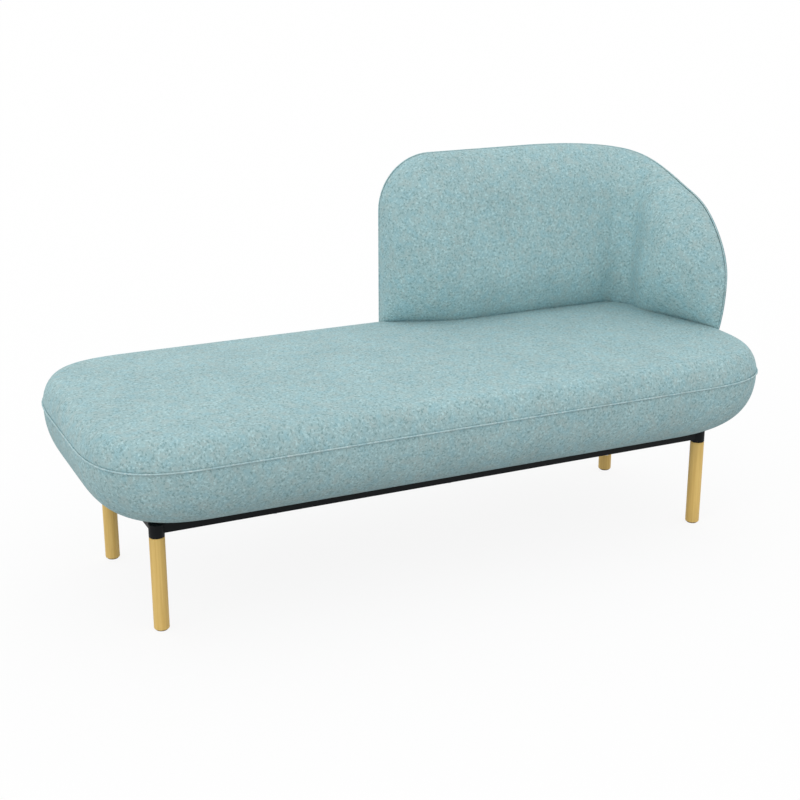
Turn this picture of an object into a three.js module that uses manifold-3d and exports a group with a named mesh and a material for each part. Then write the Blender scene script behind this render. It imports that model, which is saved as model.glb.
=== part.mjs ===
// Chaise longue: a long pillow seat on a low steel frame with four wooden legs, and a padded
// back that stands on the seat's rear edge, wraps round its rear right corner and sweeps down
// along its right end.
// Millimetres. +Z is up, +X runs along the seat to the backed end and +Y points to the rear.
// The origin is on the floor, under the middle of the seat.

import * as THREE from 'three';
import { mergeVertices } from 'three/addons/utils/BufferGeometryUtils.js';
import Module from 'manifold-3d';

const wasm = await Module();
wasm.setup();

// Fits and cuts
const clearance = 0.3;
const overrun = 6;
const mergeDistance = 0.001;
const rightAngle = Math.PI / 2;

// Wooden legs with a threaded stud on top and a glide below
const legDiameter = 32;
const legLength = 201.4;
const legEdgeRound = 2.5;
const legSides = 20;
const studDiameter = 10;
const studLength = 62;
const studDepthInLeg = 38;
const studSides = 10;
const glideDiameter = 25;
const glideHeight = 2;
const glideEdge = 0.6;
const glideSides = 12;

// Steel underframe
const postHeight = 28;
const tubeSize = 20;
const tubeWall = 1.5;
const crossRailSpacing = 460;

// Seat pillow: outline at the welt, crowned top, bowl-shaped lower half
const seatLength = 1570;
const seatDepth = 657;
const seatCornerRadius = 245;
const seatCornerPower = 3.08;
const seatSmallestCorner = 24;
const crownEdgeRise = 53.9;
const crownEdgeReach = 32.3;
const crownEdgePower = 1.816;
const crownDomeRise = 12.9;
const bowlDepth = 150.7;
const bowlReach = 168.3;
const bowlPower = 2.449;
const coverThickness = 1.5;
const seatWeltDiameter = 4.4;
const seatWeltSink = 1.5;
const hemRise = 12;
const hemWidth = 20;
const dustCoverThickness = 0.8;
const dustCoverMargin = 17;

// Seat board, drawn in from the bowl's skin, and the bolts that hold it to the rails inside its edge
const boardThickness = 18;
const boardLift = 6.5;
const boardMargin = 14.8;
const railInsetX = 17;
const railInsetY = 19;
const seatBoltSpacing = 400;
const seatBoltDiameter = 6;
const seatBoltHeadDiameter = 12;
const seatBoltHeadHeight = 3.5;
const seatBoltEmbed = 14;

// Backrest: its wall follows the seat's outline, and its rim is drawn on that wall
const backInset = 20;
const backCornerRadius = 242.6;
const backCornerPower = 3.94;
const backStraightLength = 459.9;
const backTop = 835;
const backTopCorner = 127.8;
const armSweepLead = 78.1;
const armSweepLength = 676.7;
const armSweepPower = 2.16;
const armNoseHeight = 545.9;
const armTuckRadius = 377.6;
const armTuckReach = 150;
const backWeltDiameter = 3;

// Backrest padding, measured from its wall
const padDepth = 93;
const padTopReach = 100;
const padLip = 9;
const padLipReach = 20;
const padSwellReach = 165;
const armPadLip = 9;
const armTaperReach = 295;
const outerPadDepth = 10;
const outerPadReach = 45;
const backBoardThickness = 9;
const backBoardMargin = 12;
const footGap = 0.6;
const footTrim = 8;
const tallestRoundShare = 0.8;

// Cranked steel brackets that carry the back on the seat board
const bracketThickness = 5;
const bracketWidth = 40;
const bracketTop = 600;
const bracketBend = 312;
const bracketLanding = 10;
const bracketFootLength = 78;
const bracketFromBackStart = 137;
const bracketFromCorner = 42.9;
const armBracketFromCorner = 27.9;
const bracketScrewHeights = [470, 560];
const bracketBoltPlaces = [26, 58];
const bracketBoltDiameter = 8;
const bracketBoltHeadDiameter = 16;
const bracketBoltHeadHeight = 5;
const bracketScrewDiameter = 5;
const bracketScrewHeadDiameter = 10;
const bracketScrewHeadHeight = 2.5;
const holePlay = 0.3;
const fastenerSides = 8;

// How finely the curved pieces are divided
const seatCornerSteps = 7;
const seatLongSideSteps = 3;
const seatShortSideSteps = 2;
const coverCrownAngleShares = [0.16, 0.32, 0.5, 0.7, 1];
const foamCrownAngleShares = [0.32, 0.7, 1];
const domeInsetShares = [0.36, 0.66, 0.9];
const coverBowlAngleShares = [0.2, 0.4, 0.58, 0.74, 0.88, 1];
const foamBowlAngleShares = [0.4, 0.74, 1];
const backCornerSteps = 6;
const backTopSteps = 3;
const armSweepSteps = 17;
const wallCornerSteps = 24;
const roundRowShares = [0, 0.25, 0.5, 0.75, 1];
const lowRowShares = [0.5, 1];
const weltSectionSides = 6;

// Heights and places worked out from the sizes above
const legBottom = glideHeight + clearance;
const legTop = legBottom + legLength;
const postBottom = legTop + clearance;
const railTop = postBottom + postHeight;
const railMiddle = railTop - tubeSize / 2;
const weltHeight = railTop + clearance + bowlDepth;
const boardBottom = railTop + boardLift;
const boardTop = boardBottom + boardThickness;
const boardInset = bowlInsetAt(weltHeight - boardBottom) + boardMargin;
const legSpacingX = seatLength - 2 * (boardInset + railInsetX);
const legSpacingY = seatDepth - 2 * (boardInset + railInsetY);
const halfLength = seatLength / 2;
const halfDepth = seatDepth / 2;
const seatWeltRadius = seatWeltDiameter / 2;
const weltClear = seatWeltRadius * Math.sin(2 * Math.PI / weltSectionSides) + clearance;
const foamSkin = coverThickness + clearance;
const wallHalfLength = halfLength - backInset;
const wallHalfDepth = halfDepth - backInset;
const cornerStartX = wallHalfLength - backCornerRadius;
const cornerEndY = wallHalfDepth - backCornerRadius;
const backStart = cornerStartX - backStraightLength;
const armSweepStart = cornerStartX - armSweepLead;
const backEnd = armSweepStart + armSweepLength;
const backWeltRadius = backWeltDiameter / 2;
const rimHalf = backWeltRadius + clearance + coverThickness;
const backFoamSkin = backWeltRadius + 3 * clearance;
const boardHalf = backBoardThickness / 2;
const boltHoleRadius = bracketBoltDiameter / 2 + holePlay;
const screwHoleRadius = bracketScrewDiameter / 2 + holePlay;
const seatBoltHoleRadius = seatBoltDiameter / 2 + holePlay;

const finishes = {
  cloth: finish(0x9dbdc1, 0.92, 0),
  welt: finish(0xb4cccf, 0.9, 0),
  foam: finish(0xe9dfba, 0.95, 0),
  plywood: finish(0xcfae7c, 0.7, 0),
  wood: finish(0xd2b071, 0.55, 0),
  steel: finish(0x121314, 0.42, 0.6),
  zinc: finish(0xb9bcc0, 0.35, 1),
  glide: finish(0x3a3836, 0.85, 0),
  lining: finish(0x1b1b1c, 0.95, 0),
};

function finish(color, roughness, metalness) {
  return new THREE.MeshStandardMaterial({ color, roughness, metalness });
}

const chaise = new THREE.Group();

function addPiece(name, geometry, material, place) {
  const mesh = new THREE.Mesh(geometry, material);
  mesh.name = name;
  if (place) {
    place.decompose(mesh.position, mesh.quaternion, mesh.scale);
  }
  chaise.add(mesh);
}

function at(x, y, z, turn = 0) {
  return new THREE.Matrix4().makeRotationZ(turn).setPosition(x, y, z);
}

// Mesh helpers

function meshOf(points, faces) {
  const geometry = new THREE.BufferGeometry();
  const places = points.flatMap((point) => [point.x, point.y, point.z]);
  geometry.setAttribute('position', new THREE.Float32BufferAttribute(places, 3));
  geometry.setIndex(faces);
  geometry.computeVertexNormals();
  return geometry;
}

// Joins rings of points into a skin. An open stack is capped at both ends; a closed one is
// joined from its last ring back to its first.
function loft(rings, closed = false) {
  const count = rings[0].length;
  const points = rings.flat();
  const faces = [];
  const bands = closed ? rings.length : rings.length - 1;
  for (let band = 0; band < bands; band += 1) {
    const low = band * count;
    const high = ((band + 1) % rings.length) * count;
    for (let i = 0; i < count; i += 1) {
      const next = (i + 1) % count;
      faces.push(low + i, low + next, high + next);
      faces.push(low + i, high + next, high + i);
    }
  }
  if (!closed) {
    const first = points.push(middleOf(rings[0])) - 1;
    const last = points.push(middleOf(rings.at(-1))) - 1;
    const top = (rings.length - 1) * count;
    for (let i = 0; i < count; i += 1) {
      const next = (i + 1) % count;
      faces.push(first, next, i);
      faces.push(last, top + i, top + next);
    }
  }
  return meshOf(points, faces);
}

function middleOf(ring) {
  const sum = new THREE.Vector3();
  ring.forEach((point) => sum.add(point));
  return sum.divideScalar(ring.length);
}

// Closes two matching grids of points, a front and a back, into one slab.
function slab(front, back) {
  const columns = front.length;
  const rows = front[0].length;
  const points = [...front.flat(), ...back.flat()];
  const offset = columns * rows;
  const faces = [];
  for (let i = 0; i + 1 < columns; i += 1) {
    for (let j = 0; j + 1 < rows; j += 1) {
      const a = i * rows + j;
      const b = a + rows;
      faces.push(a, a + 1, b + 1, a, b + 1, b);
      faces.push(offset + a, offset + b + 1, offset + a + 1, offset + a, offset + b, offset + b + 1);
    }
  }
  const edge = gridEdge(columns, rows);
  edge.forEach((p, k) => {
    const q = edge[(k + 1) % edge.length];
    faces.push(q, p, offset + p, q, offset + p, offset + q);
  });
  return meshOf(points, faces);
}

function gridEdge(columns, rows) {
  const edge = [];
  for (let j = 0; j < rows - 1; j += 1) edge.push(j);
  for (let i = 0; i < columns - 1; i += 1) edge.push(i * rows + rows - 1);
  for (let j = rows - 1; j > 0; j -= 1) edge.push((columns - 1) * rows + j);
  for (let i = columns - 1; i > 0; i -= 1) edge.push(i * rows);
  return edge;
}

function solidOf(geometry) {
  const bare = geometry.clone();
  bare.deleteAttribute('normal');
  bare.deleteAttribute('uv');
  const merged = mergeVertices(bare, mergeDistance);
  return new wasm.Manifold(new wasm.Mesh({
    numProp: 3,
    vertProperties: Float32Array.from(merged.attributes.position.array),
    triVerts: Uint32Array.from(merged.index.array),
  }));
}

function geometryOf(solid) {
  const mesh = solid.getMesh();
  const geometry = new THREE.BufferGeometry();
  geometry.setAttribute('position', new THREE.Float32BufferAttribute(mesh.vertProperties, 3));
  geometry.setIndex(new THREE.Uint32BufferAttribute(mesh.triVerts, 1));
  geometry.computeVertexNormals();
  return geometry;
}

function cut(geometry, cutters) {
  const solid = cutters.reduce((rest, cutter) => rest.subtract(solidOf(cutter)), solidOf(geometry));
  return geometryOf(solid);
}

// A round bar standing on its base point, along +Z.
function bar(radius, length, sides) {
  return new THREE.CylinderGeometry(radius, radius, length, sides)
    .rotateX(rightAngle)
    .translate(0, 0, length / 2);
}

function box(lengthX, lengthY, lengthZ) {
  return new THREE.BoxGeometry(lengthX, lengthY, lengthZ);
}

function turned(profile, sides) {
  return new THREE.LatheGeometry(profile.map(([r, z]) => new THREE.Vector2(r, z)), sides).rotateX(rightAngle);
}

// A bolt or screw: its head stands on the base point and its shank hangs below it.
function fastener(shankRadius, shankLength, headRadius, headHeight) {
  return turned([
    [0, -shankLength],
    [shankRadius, -shankLength],
    [shankRadius, 0],
    [headRadius, 0],
    [headRadius, headHeight],
    [0, headHeight],
  ], fastenerSides);
}

// Underframe

const corners = [
  ['front_left', -1, -1],
  ['front_right', 1, -1],
  ['rear_left', -1, 1],
  ['rear_right', 1, 1],
];

function postGeometry() {
  return cut(bar(legDiameter / 2, postHeight, legSides), [
    bar(studDiameter / 2 + clearance, postHeight + 2 * overrun, studSides).translate(0, 0, -overrun),
  ]);
}

function legGeometry() {
  const radius = legDiameter / 2;
  const bore = studDiameter / 2 + clearance;
  const boreFloor = legLength - studDepthInLeg - clearance;
  return turned([
    [0, 0],
    [radius - legEdgeRound, 0],
    [radius, legEdgeRound],
    [radius, legLength],
    [bore, legLength],
    [bore, boreFloor],
    [0, boreFloor],
  ], legSides);
}

function glideGeometry() {
  const radius = glideDiameter / 2;
  return turned([
    [0, 0],
    [radius - glideEdge, 0],
    [radius, glideEdge],
    [radius, glideHeight],
    [0, glideHeight],
  ], glideSides);
}

function addLegs() {
  const post = postGeometry();
  const leg = legGeometry();
  const glide = glideGeometry();
  const stud = bar(studDiameter / 2, studLength, studSides);
  corners.forEach(([corner, sideX, sideY]) => {
    const x = sideX * legSpacingX / 2;
    const y = sideY * legSpacingY / 2;
    addPiece(`post_${corner}`, post, finishes.steel, at(x, y, postBottom));
    addPiece(`leg_${corner}`, leg, finishes.wood, at(x, y, legBottom));
    addPiece(`leg_stud_${corner}`, stud, finishes.zinc, at(x, y, legTop - studDepthInLeg));
    addPiece(`glide_${corner}`, glide, finishes.glide, at(x, y, 0));
  });
}

// A square tube along X with its bore right through.
function tubeGeometry(length) {
  const bore = tubeSize - 2 * tubeWall;
  return cut(box(length, tubeSize, tubeSize), [box(length + 2 * overrun, bore, bore)]);
}

// A rail between two posts, its ends coped to their round sides.
function railGeometry(spacing, boltPlaces) {
  const reach = legDiameter / 2 + clearance;
  const copes = [-1, 1].map((side) => bar(reach, tubeSize + 2 * overrun, legSides)
    .translate(side * spacing / 2, 0, -tubeSize / 2 - overrun));
  const holes = boltPlaces.map((place) => bar(seatBoltHoleRadius, tubeSize + 2 * overrun, fastenerSides)
    .translate(place, 0, -tubeSize / 2 - overrun));
  return cut(tubeGeometry(spacing), [...copes, ...holes]);
}

const seatBoltPlaces = [-seatBoltSpacing, 0, seatBoltSpacing];

function addRails() {
  const long = railGeometry(legSpacingX, seatBoltPlaces);
  const short = railGeometry(legSpacingY, []);
  const cross = tubeGeometry(legSpacingY - tubeSize - 2 * clearance);
  const y = legSpacingY / 2;
  const x = legSpacingX / 2;
  addPiece('front_rail', long, finishes.steel, at(0, -y, railMiddle));
  addPiece('rear_rail', long, finishes.steel, at(0, y, railMiddle));
  addPiece('left_rail', short, finishes.steel, at(-x, 0, railMiddle, rightAngle));
  addPiece('right_rail', short, finishes.steel, at(x, 0, railMiddle, rightAngle));
  addPiece('cross_rail_left', cross, finishes.steel, at(-crossRailSpacing / 2, 0, railMiddle, rightAngle));
  addPiece('cross_rail_right', cross, finishes.steel, at(crossRailSpacing / 2, 0, railMiddle, rightAngle));
}

// Seat outline and skins

// Radius of a squircle corner of radius one, at an angle from its first side.
function squircle(angle, power) {
  return (Math.abs(Math.cos(angle)) ** power + Math.abs(Math.sin(angle)) ** power) ** (-1 / power);
}

// The seat's outline drawn in by an inset, at one height, anticlockwise from above.
function seatRing(inset, height) {
  const radius = Math.max(seatCornerRadius - inset, seatSmallestCorner);
  const centreX = halfLength - inset - radius;
  const centreY = halfDepth - inset - radius;
  const ring = [];
  for (let quarter = 0; quarter < 4; quarter += 1) {
    const sideX = quarter === 0 || quarter === 3 ? 1 : -1;
    const sideY = quarter < 2 ? 1 : -1;
    for (let step = 0; step <= seatCornerSteps; step += 1) {
      const angle = (step / seatCornerSteps) * rightAngle;
      const reach = radius * squircle(angle, seatCornerPower);
      const turnedAngle = angle + quarter * rightAngle;
      const x = sideX * centreX + reach * Math.cos(turnedAngle);
      const y = sideY * centreY + reach * Math.sin(turnedAngle);
      ring.push(new THREE.Vector3(x, y, height));
    }
    ring.push(...sidePoints(ring.at(-1), quarter, centreX, centreY, height));
  }
  return ring;
}

// Points along the straight side that follows a corner, without its two ends.
function sidePoints(start, quarter, centreX, centreY, height) {
  const alongX = quarter % 2 === 0;
  const steps = alongX ? seatLongSideSteps : seatShortSideSteps;
  const way = quarter < 2 ? -1 : 1;
  const length = 2 * (alongX ? centreX : centreY);
  const points = [];
  for (let step = 1; step < steps; step += 1) {
    const along = way * length * step / steps;
    points.push(new THREE.Vector3(start.x + (alongX ? along : 0), start.y + (alongX ? 0 : along), height));
  }
  return points;
}

function domeAt(inset) {
  return crownDomeRise * (1 - (1 - inset / halfDepth) ** 2);
}

// A point of the crowned top's profile, a skin's thickness under its surface: inset and height
// over the welt.
function crownAt(angle, skin) {
  const inset = skin + (crownEdgeReach - skin) * (1 - Math.cos(angle) ** (2 / crownEdgePower));
  const rise = (crownEdgeRise - skin) * Math.sin(angle) ** (2 / crownEdgePower);
  return [inset, rise + domeAt(inset)];
}

function bowlAt(angle, skin) {
  const inset = skin + (bowlReach - skin) * (1 - Math.cos(angle) ** (2 / bowlPower));
  return [inset, -(bowlDepth - skin) * Math.sin(angle) ** (2 / bowlPower)];
}

// Inset of the bowl's skin at a drop below the welt.
function bowlInsetAt(drop) {
  const angle = Math.asin((drop / bowlDepth) ** (bowlPower / 2));
  return bowlReach * (1 - Math.cos(angle) ** (2 / bowlPower));
}

function crownProfile(skin, start, angleShares) {
  const edge = angleShares.map((share) => crownAt(share * rightAngle, skin));
  const dome = domeInsetShares.map((share) => {
    const inset = share * halfDepth;
    return [inset, crownEdgeRise - skin + domeAt(inset)];
  });
  return [[skin, start], ...edge, ...dome];
}

function bowlProfile(skin, start, angleShares) {
  return [[skin, -start], ...angleShares.map((share) => bowlAt(share * rightAngle, skin))];
}

function ringsOf(profile) {
  return profile.map(([inset, rise]) => seatRing(inset, weltHeight + rise));
}

// Height of the seat's top at a place on it, or at a least inset from its outline.
function seatTopAt(x, y, leastInset = 0) {
  const outX = Math.max(Math.abs(x) - (halfLength - seatCornerRadius), 0);
  const outY = Math.max(Math.abs(y) - (halfDepth - seatCornerRadius), 0);
  const out = (outX ** seatCornerPower + outY ** seatCornerPower) ** (1 / seatCornerPower);
  const inset = Math.max(seatCornerRadius - out, leastInset, 0);
  const left = Math.max(1 - inset / crownEdgeReach, 0);
  const angle = Math.acos(left ** (crownEdgePower / 2));
  return weltHeight + crownEdgeRise * Math.sin(angle) ** (2 / crownEdgePower) + domeAt(inset);
}

// Seat pieces

function upperCoverGeometry(bracketSlots) {
  const outside = ringsOf(crownProfile(0, weltClear, coverCrownAngleShares));
  const inside = ringsOf(crownProfile(coverThickness, weltClear, coverCrownAngleShares)).reverse();
  return cut(loft([...inside, ...outside]), bracketSlots);
}

function upperFoamGeometry(bracketSlots) {
  const skin = ringsOf(crownProfile(foamSkin, clearance / 2, foamCrownAngleShares));
  return cut(loft(skin), bracketSlots);
}

function lowerCoverGeometry() {
  const hemTop = boardBottom - clearance - weltHeight;
  const hemInsets = [bowlReach + hemRise, bowlReach + hemRise + hemWidth];
  const outside = bowlProfile(0, weltClear, coverBowlAngleShares);
  const inside = bowlProfile(coverThickness, weltClear, coverBowlAngleShares);
  hemInsets.forEach((inset) => {
    outside.push([inset, hemTop - coverThickness]);
    inside.push([inset, hemTop]);
  });
  return cut(loft([...ringsOf(outside).reverse(), ...ringsOf(inside)], true), seatBoltHoles());
}

function lowerFoamGeometry(bracketSlots) {
  const skin = ringsOf(bowlProfile(foamSkin, clearance / 2, foamBowlAngleShares)).reverse();
  const boardPocket = loft([
    seatRing(boardInset - clearance, boardBottom - boardThickness),
    seatRing(boardInset - clearance, boardTop + clearance),
  ]);
  return cut(loft(skin), [boardPocket, ...bracketSlots]);
}

function seatBoltHoles() {
  const hole = bar(seatBoltHoleRadius, boardTop + overrun - railTop, fastenerSides);
  return [-1, 1].flatMap((side) => seatBoltPlaces
    .map((x) => hole.clone().translate(x, side * legSpacingY / 2, railTop)));
}

function boardGeometry() {
  const plate = loft([seatRing(boardInset, boardBottom), seatRing(boardInset, boardTop)]);
  const boltHoles = brackets.flatMap(({ place }) => bracketBoltPlaces.map((along) => {
    const hole = bar(boltHoleRadius, boardThickness + 2 * overrun, fastenerSides);
    hole.translate(0, -footStart - along, boardBottom - overrun);
    return hole.applyMatrix4(place);
  }));
  return cut(plate, [...seatBoltHoles(), ...boltHoles]);
}

function seatWeltGeometry() {
  const rings = [];
  for (let side = 0; side < weltSectionSides; side += 1) {
    const angle = (side / weltSectionSides) * 2 * Math.PI;
    const inset = seatWeltSink - seatWeltRadius - seatWeltRadius * Math.cos(angle);
    rings.push(seatRing(inset, weltHeight + seatWeltRadius * Math.sin(angle)));
  }
  return loft(rings, true);
}

function dustCoverGeometry() {
  const top = boardBottom - 2 * clearance - coverThickness;
  const inset = bowlReach + dustCoverMargin;
  return loft([seatRing(inset, top - dustCoverThickness), seatRing(inset, top)]);
}

function addSeatBolts() {
  const headBottom = railMiddle - tubeSize / 2 - clearance;
  const shank = boardBottom + seatBoltEmbed - headBottom;
  const bolt = fastener(seatBoltDiameter / 2, shank, seatBoltHeadDiameter / 2, seatBoltHeadHeight)
    .rotateX(Math.PI);
  let number = 1;
  [-1, 1].forEach((side) => {
    seatBoltPlaces.forEach((x) => {
      addPiece(`seat_bolt_${number}`, bolt, finishes.zinc, at(x, side * legSpacingY / 2, headBottom));
      number += 1;
    });
  });
}

function addSeat() {
  const slots = brackets.map(({ place }) => bracketSlot().applyMatrix4(place));
  const heads = brackets.flatMap(({ place }) => boltHeadRooms().map((room) => room.applyMatrix4(place)));
  addPiece('seat_board', boardGeometry(), finishes.plywood);
  addPiece('seat_lower_foam', lowerFoamGeometry([...slots, ...heads]), finishes.foam);
  addPiece('seat_upper_foam', upperFoamGeometry(slots), finishes.foam);
  addPiece('seat_lower_cover', lowerCoverGeometry(), finishes.cloth);
  addPiece('seat_upper_cover', upperCoverGeometry(slots), finishes.cloth);
  addPiece('seat_welt', seatWeltGeometry(), finishes.welt);
  addPiece('dust_cover', dustCoverGeometry(), finishes.lining);
  addSeatBolts();
}

// Brackets. Each is drawn in its own frame: X along the wall, Y out through the wall and Z up,
// with its origin on the floor under the wall.

const bracketFace = boardHalf + clearance;
const bracketMiddle = bracketFace + bracketThickness / 2;
const footStart = boardInset - backInset + bracketLanding;
const footMiddleHeight = boardTop + clearance + bracketThickness / 2;

const brackets = [
  { name: 'left', place: at(backStart + bracketFromBackStart, wallHalfDepth, 0) },
  { name: 'middle', place: at(cornerStartX - bracketFromCorner, wallHalfDepth, 0) },
  { name: 'arm', place: at(wallHalfLength, cornerEndY - armBracketFromCorner, 0, -rightAngle) },
];

// Outline of a flat bar bent at the corners of a line, with mitred bends.
function bentBarShape(line, thickness) {
  const sides = [1, -1].map((side) => line.map((point, i) => {
    const before = line[Math.max(i - 1, 0)];
    const after = line[Math.min(i + 1, line.length - 1)];
    const into = new THREE.Vector2().subVectors(i > 0 ? point : after, i > 0 ? before : point).normalize();
    const out = new THREE.Vector2().subVectors(i + 1 < line.length ? after : point,
      i + 1 < line.length ? point : before).normalize();
    const mitre = new THREE.Vector2(-into.y - out.y, into.x + out.x).normalize();
    const length = side * thickness / 2 / (mitre.x * -into.y + mitre.y * into.x);
    return new THREE.Vector2(point.x + mitre.x * length, point.y + mitre.y * length);
  }));
  return new THREE.Shape([...sides[0], ...sides[1].reverse()]);
}

function bracketBar(thickness, width, endRoom) {
  const line = [
    new THREE.Vector2(-bracketMiddle, bracketTop + endRoom),
    new THREE.Vector2(-bracketMiddle, bracketBend),
    new THREE.Vector2(-footStart, footMiddleHeight),
    new THREE.Vector2(-footStart - bracketFootLength - endRoom, footMiddleHeight),
  ];
  const shape = bentBarShape(line, thickness);
  return new THREE.ExtrudeGeometry(shape, { depth: width, bevelEnabled: false })
    .rotateX(rightAngle)
    .rotateZ(rightAngle)
    .translate(-width / 2, 0, 0);
}

function bracketSlot() {
  return bracketBar(bracketThickness + 2 * clearance, bracketWidth + 2 * clearance, clearance);
}

function boltHeadRooms() {
  const floor = boardTop + bracketThickness + clearance;
  const radius = bracketBoltHeadDiameter / 2 + clearance;
  return bracketBoltPlaces.map((along) => {
    const room = bar(radius, bracketBoltHeadHeight + 2 * clearance, fastenerSides);
    return room.translate(0, -footStart - along, floor);
  });
}

// A bar along the wall's normal, from one depth inside the wall to another.
function crossBar(radius, fromDepth, toDepth, height) {
  return bar(radius, fromDepth - toDepth, fastenerSides)
    .rotateX(-rightAngle)
    .translate(0, -fromDepth, height);
}

function bracketGeometry() {
  const boltHole = bar(boltHoleRadius, bracketThickness + 2 * overrun, fastenerSides);
  const boltHoles = bracketBoltPlaces.map((along) => boltHole.clone()
    .translate(0, -footStart - along, boardTop - overrun));
  const screwHoles = bracketScrewHeights.map((height) => crossBar(
    screwHoleRadius,
    bracketFace + bracketThickness + overrun,
    bracketFace - overrun,
    height,
  ));
  return cut(bracketBar(bracketThickness, bracketWidth, 0), [...boltHoles, ...screwHoles]);
}

function screwHeadRooms() {
  const start = bracketFace + bracketThickness;
  return bracketScrewHeights.map((height) => crossBar(
    bracketScrewHeadDiameter / 2 + clearance,
    start + bracketScrewHeadHeight + 2 * clearance,
    start,
    height,
  ));
}

function addBrackets() {
  const bracket = bracketGeometry();
  const boltFloor = boardTop + clearance + bracketThickness + clearance;
  const bolt = fastener(
    bracketBoltDiameter / 2,
    boltFloor - boardBottom - clearance,
    bracketBoltHeadDiameter / 2,
    bracketBoltHeadHeight,
  );
  const screwFace = bracketFace + bracketThickness + clearance;
  const screw = fastener(
    bracketScrewDiameter / 2,
    screwFace + boardHalf - clearance,
    bracketScrewHeadDiameter / 2,
    bracketScrewHeadHeight,
  ).rotateX(rightAngle);
  brackets.forEach(({ name, place }) => {
    addPiece(`back_bracket_${name}`, bracket, finishes.steel, place);
    bracketBoltPlaces.forEach((along, i) => {
      const seat = place.clone().multiply(at(0, -footStart - along, boltFloor));
      addPiece(`bracket_bolt_${name}_${i + 1}`, bolt, finishes.zinc, seat);
    });
    bracketScrewHeights.forEach((height, i) => {
      const seat = place.clone().multiply(at(0, -screwFace, height));
      addPiece(`bracket_screw_${name}_${i + 1}`, screw, finishes.zinc, seat);
    });
  });
}

// Backrest wall: an upright sheet that runs along the rear side, round the corner and down
// the right end. A place on it is a length along it, from the middle of the seat, and a height.

const wallLine = wallPoints();

function wallPoints() {
  const points = [{ x: 0, y: wallHalfDepth, normalX: 0, normalY: 1, along: 0 }];
  for (let step = 0; step <= wallCornerSteps; step += 1) {
    const angle = rightAngle * (1 - step / wallCornerSteps);
    const reach = backCornerRadius * squircle(angle, backCornerPower);
    const outX = reach * Math.cos(angle);
    const outY = reach * Math.sin(angle);
    const slopeX = Math.max(outX, 0) ** (backCornerPower - 1);
    const slopeY = outY ** (backCornerPower - 1);
    const size = Math.hypot(slopeX, slopeY);
    addWallPoint(points, cornerStartX + outX, cornerEndY + outY, slopeX / size, slopeY / size);
  }
  addWallPoint(points, wallHalfLength, cornerEndY - armSweepLength, 1, 0);
  return points;
}

function addWallPoint(points, x, y, normalX, normalY) {
  const last = points.at(-1);
  points.push({ x, y, normalX, normalY, along: last.along + Math.hypot(x - last.x, y - last.y) });
}

function wallAt(along) {
  const next = wallLine.findIndex((point, i) => i > 0 && point.along >= along);
  const from = wallLine[next - 1];
  const to = wallLine[next];
  const share = (along - from.along) / (to.along - from.along);
  const mix = (key) => from[key] + (to[key] - from[key]) * share;
  const size = Math.hypot(mix('normalX'), mix('normalY'));
  return { x: mix('x'), y: mix('y'), normalX: mix('normalX') / size, normalY: mix('normalY') / size };
}

// A point off the wall by a depth towards the sitter. The arm's nose draws back below its
// foremost point.
function backPoint(along, height, depth) {
  const nearNose = Math.max(along - (backEnd - armTuckReach), 0) / armTuckReach;
  const wall = wallAt(along - tuckAt(height) * nearNose ** 2);
  return new THREE.Vector3(wall.x - wall.normalX * depth, wall.y - wall.normalY * depth, height);
}

function tuckAt(height) {
  const below = Math.max(armNoseHeight - height, 0);
  return armTuckRadius - Math.sqrt(armTuckRadius ** 2 - below ** 2);
}

// The rim: up the left edge, round the top corner, along the top and down the arm's sweep.
// A margin draws it in.
function rimPlaces(margin) {
  const places = [];
  for (let step = 0; step <= backCornerSteps; step += 1) {
    const angle = (step / backCornerSteps) * rightAngle;
    const radius = backTopCorner - margin;
    places.push({
      along: backStart + backTopCorner - radius * Math.cos(angle),
      height: backTop - backTopCorner + radius * Math.sin(angle),
    });
  }
  for (let step = 1; step <= backTopSteps; step += 1) {
    const from = backStart + backTopCorner;
    places.push({ along: from + (armSweepStart - from) * step / backTopSteps, height: backTop - margin });
  }
  for (let step = 1; step <= armSweepSteps; step += 1) {
    const angle = (step / armSweepSteps) * rightAngle;
    places.push({
      along: armSweepStart + (armSweepLength - margin) * Math.sin(angle) ** (2 / armSweepPower),
      height: armNoseHeight + (backTop - armNoseHeight - margin) * Math.cos(angle) ** (2 / armSweepPower),
    });
  }
  return places;
}

// Height of the rim over a place along the wall, a skin's thickness inside it.
function rimHeight(along, skin) {
  const leftOfCorner = backStart + backTopCorner - along;
  if (leftOfCorner > 0) {
    const radius = backTopCorner - skin;
    return backTop - backTopCorner + Math.sqrt(Math.max(radius ** 2 - leftOfCorner ** 2, 0));
  }
  const share = Math.max(along - armSweepStart, 0) / (armSweepLength - skin);
  const fall = Math.max(1 - share ** armSweepPower, 0) ** (1 / armSweepPower);
  return armNoseHeight + (backTop - armNoseHeight - skin) * fall;
}

// How far a rounded edge has risen to its full depth, at a distance inside that edge.
function edgeShare(distance, reach) {
  const share = Math.min(Math.max(distance / reach, 0), 1);
  return Math.sqrt(1 - (1 - share) ** 2);
}

// Depth of the sitter's side of the padding, at a skin's thickness under its surface.
function innerDepth(along, height, skin) {
  const fromStart = Math.max(along - backStart - skin, 0);
  const fromNose = Math.max(backEnd - skin - along, 0);
  const swell = Math.sin(Math.min(fromStart / padSwellReach, 1) * rightAngle) ** 2;
  const taper = Math.min(fromNose / armTaperReach, 1);
  const start = padLip * edgeShare(fromStart, padLipReach - skin) + (padDepth - padLip) * swell;
  const nose = armPadLip * edgeShare(fromNose, padLipReach - skin) + (padDepth - armPadLip) * taper;
  const rim = rimHeight(along, skin);
  const reach = roundReach(rim) - skin;
  return rimHalf - skin + Math.min(start, nose) * edgeShare(rim - height, reach);
}

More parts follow.
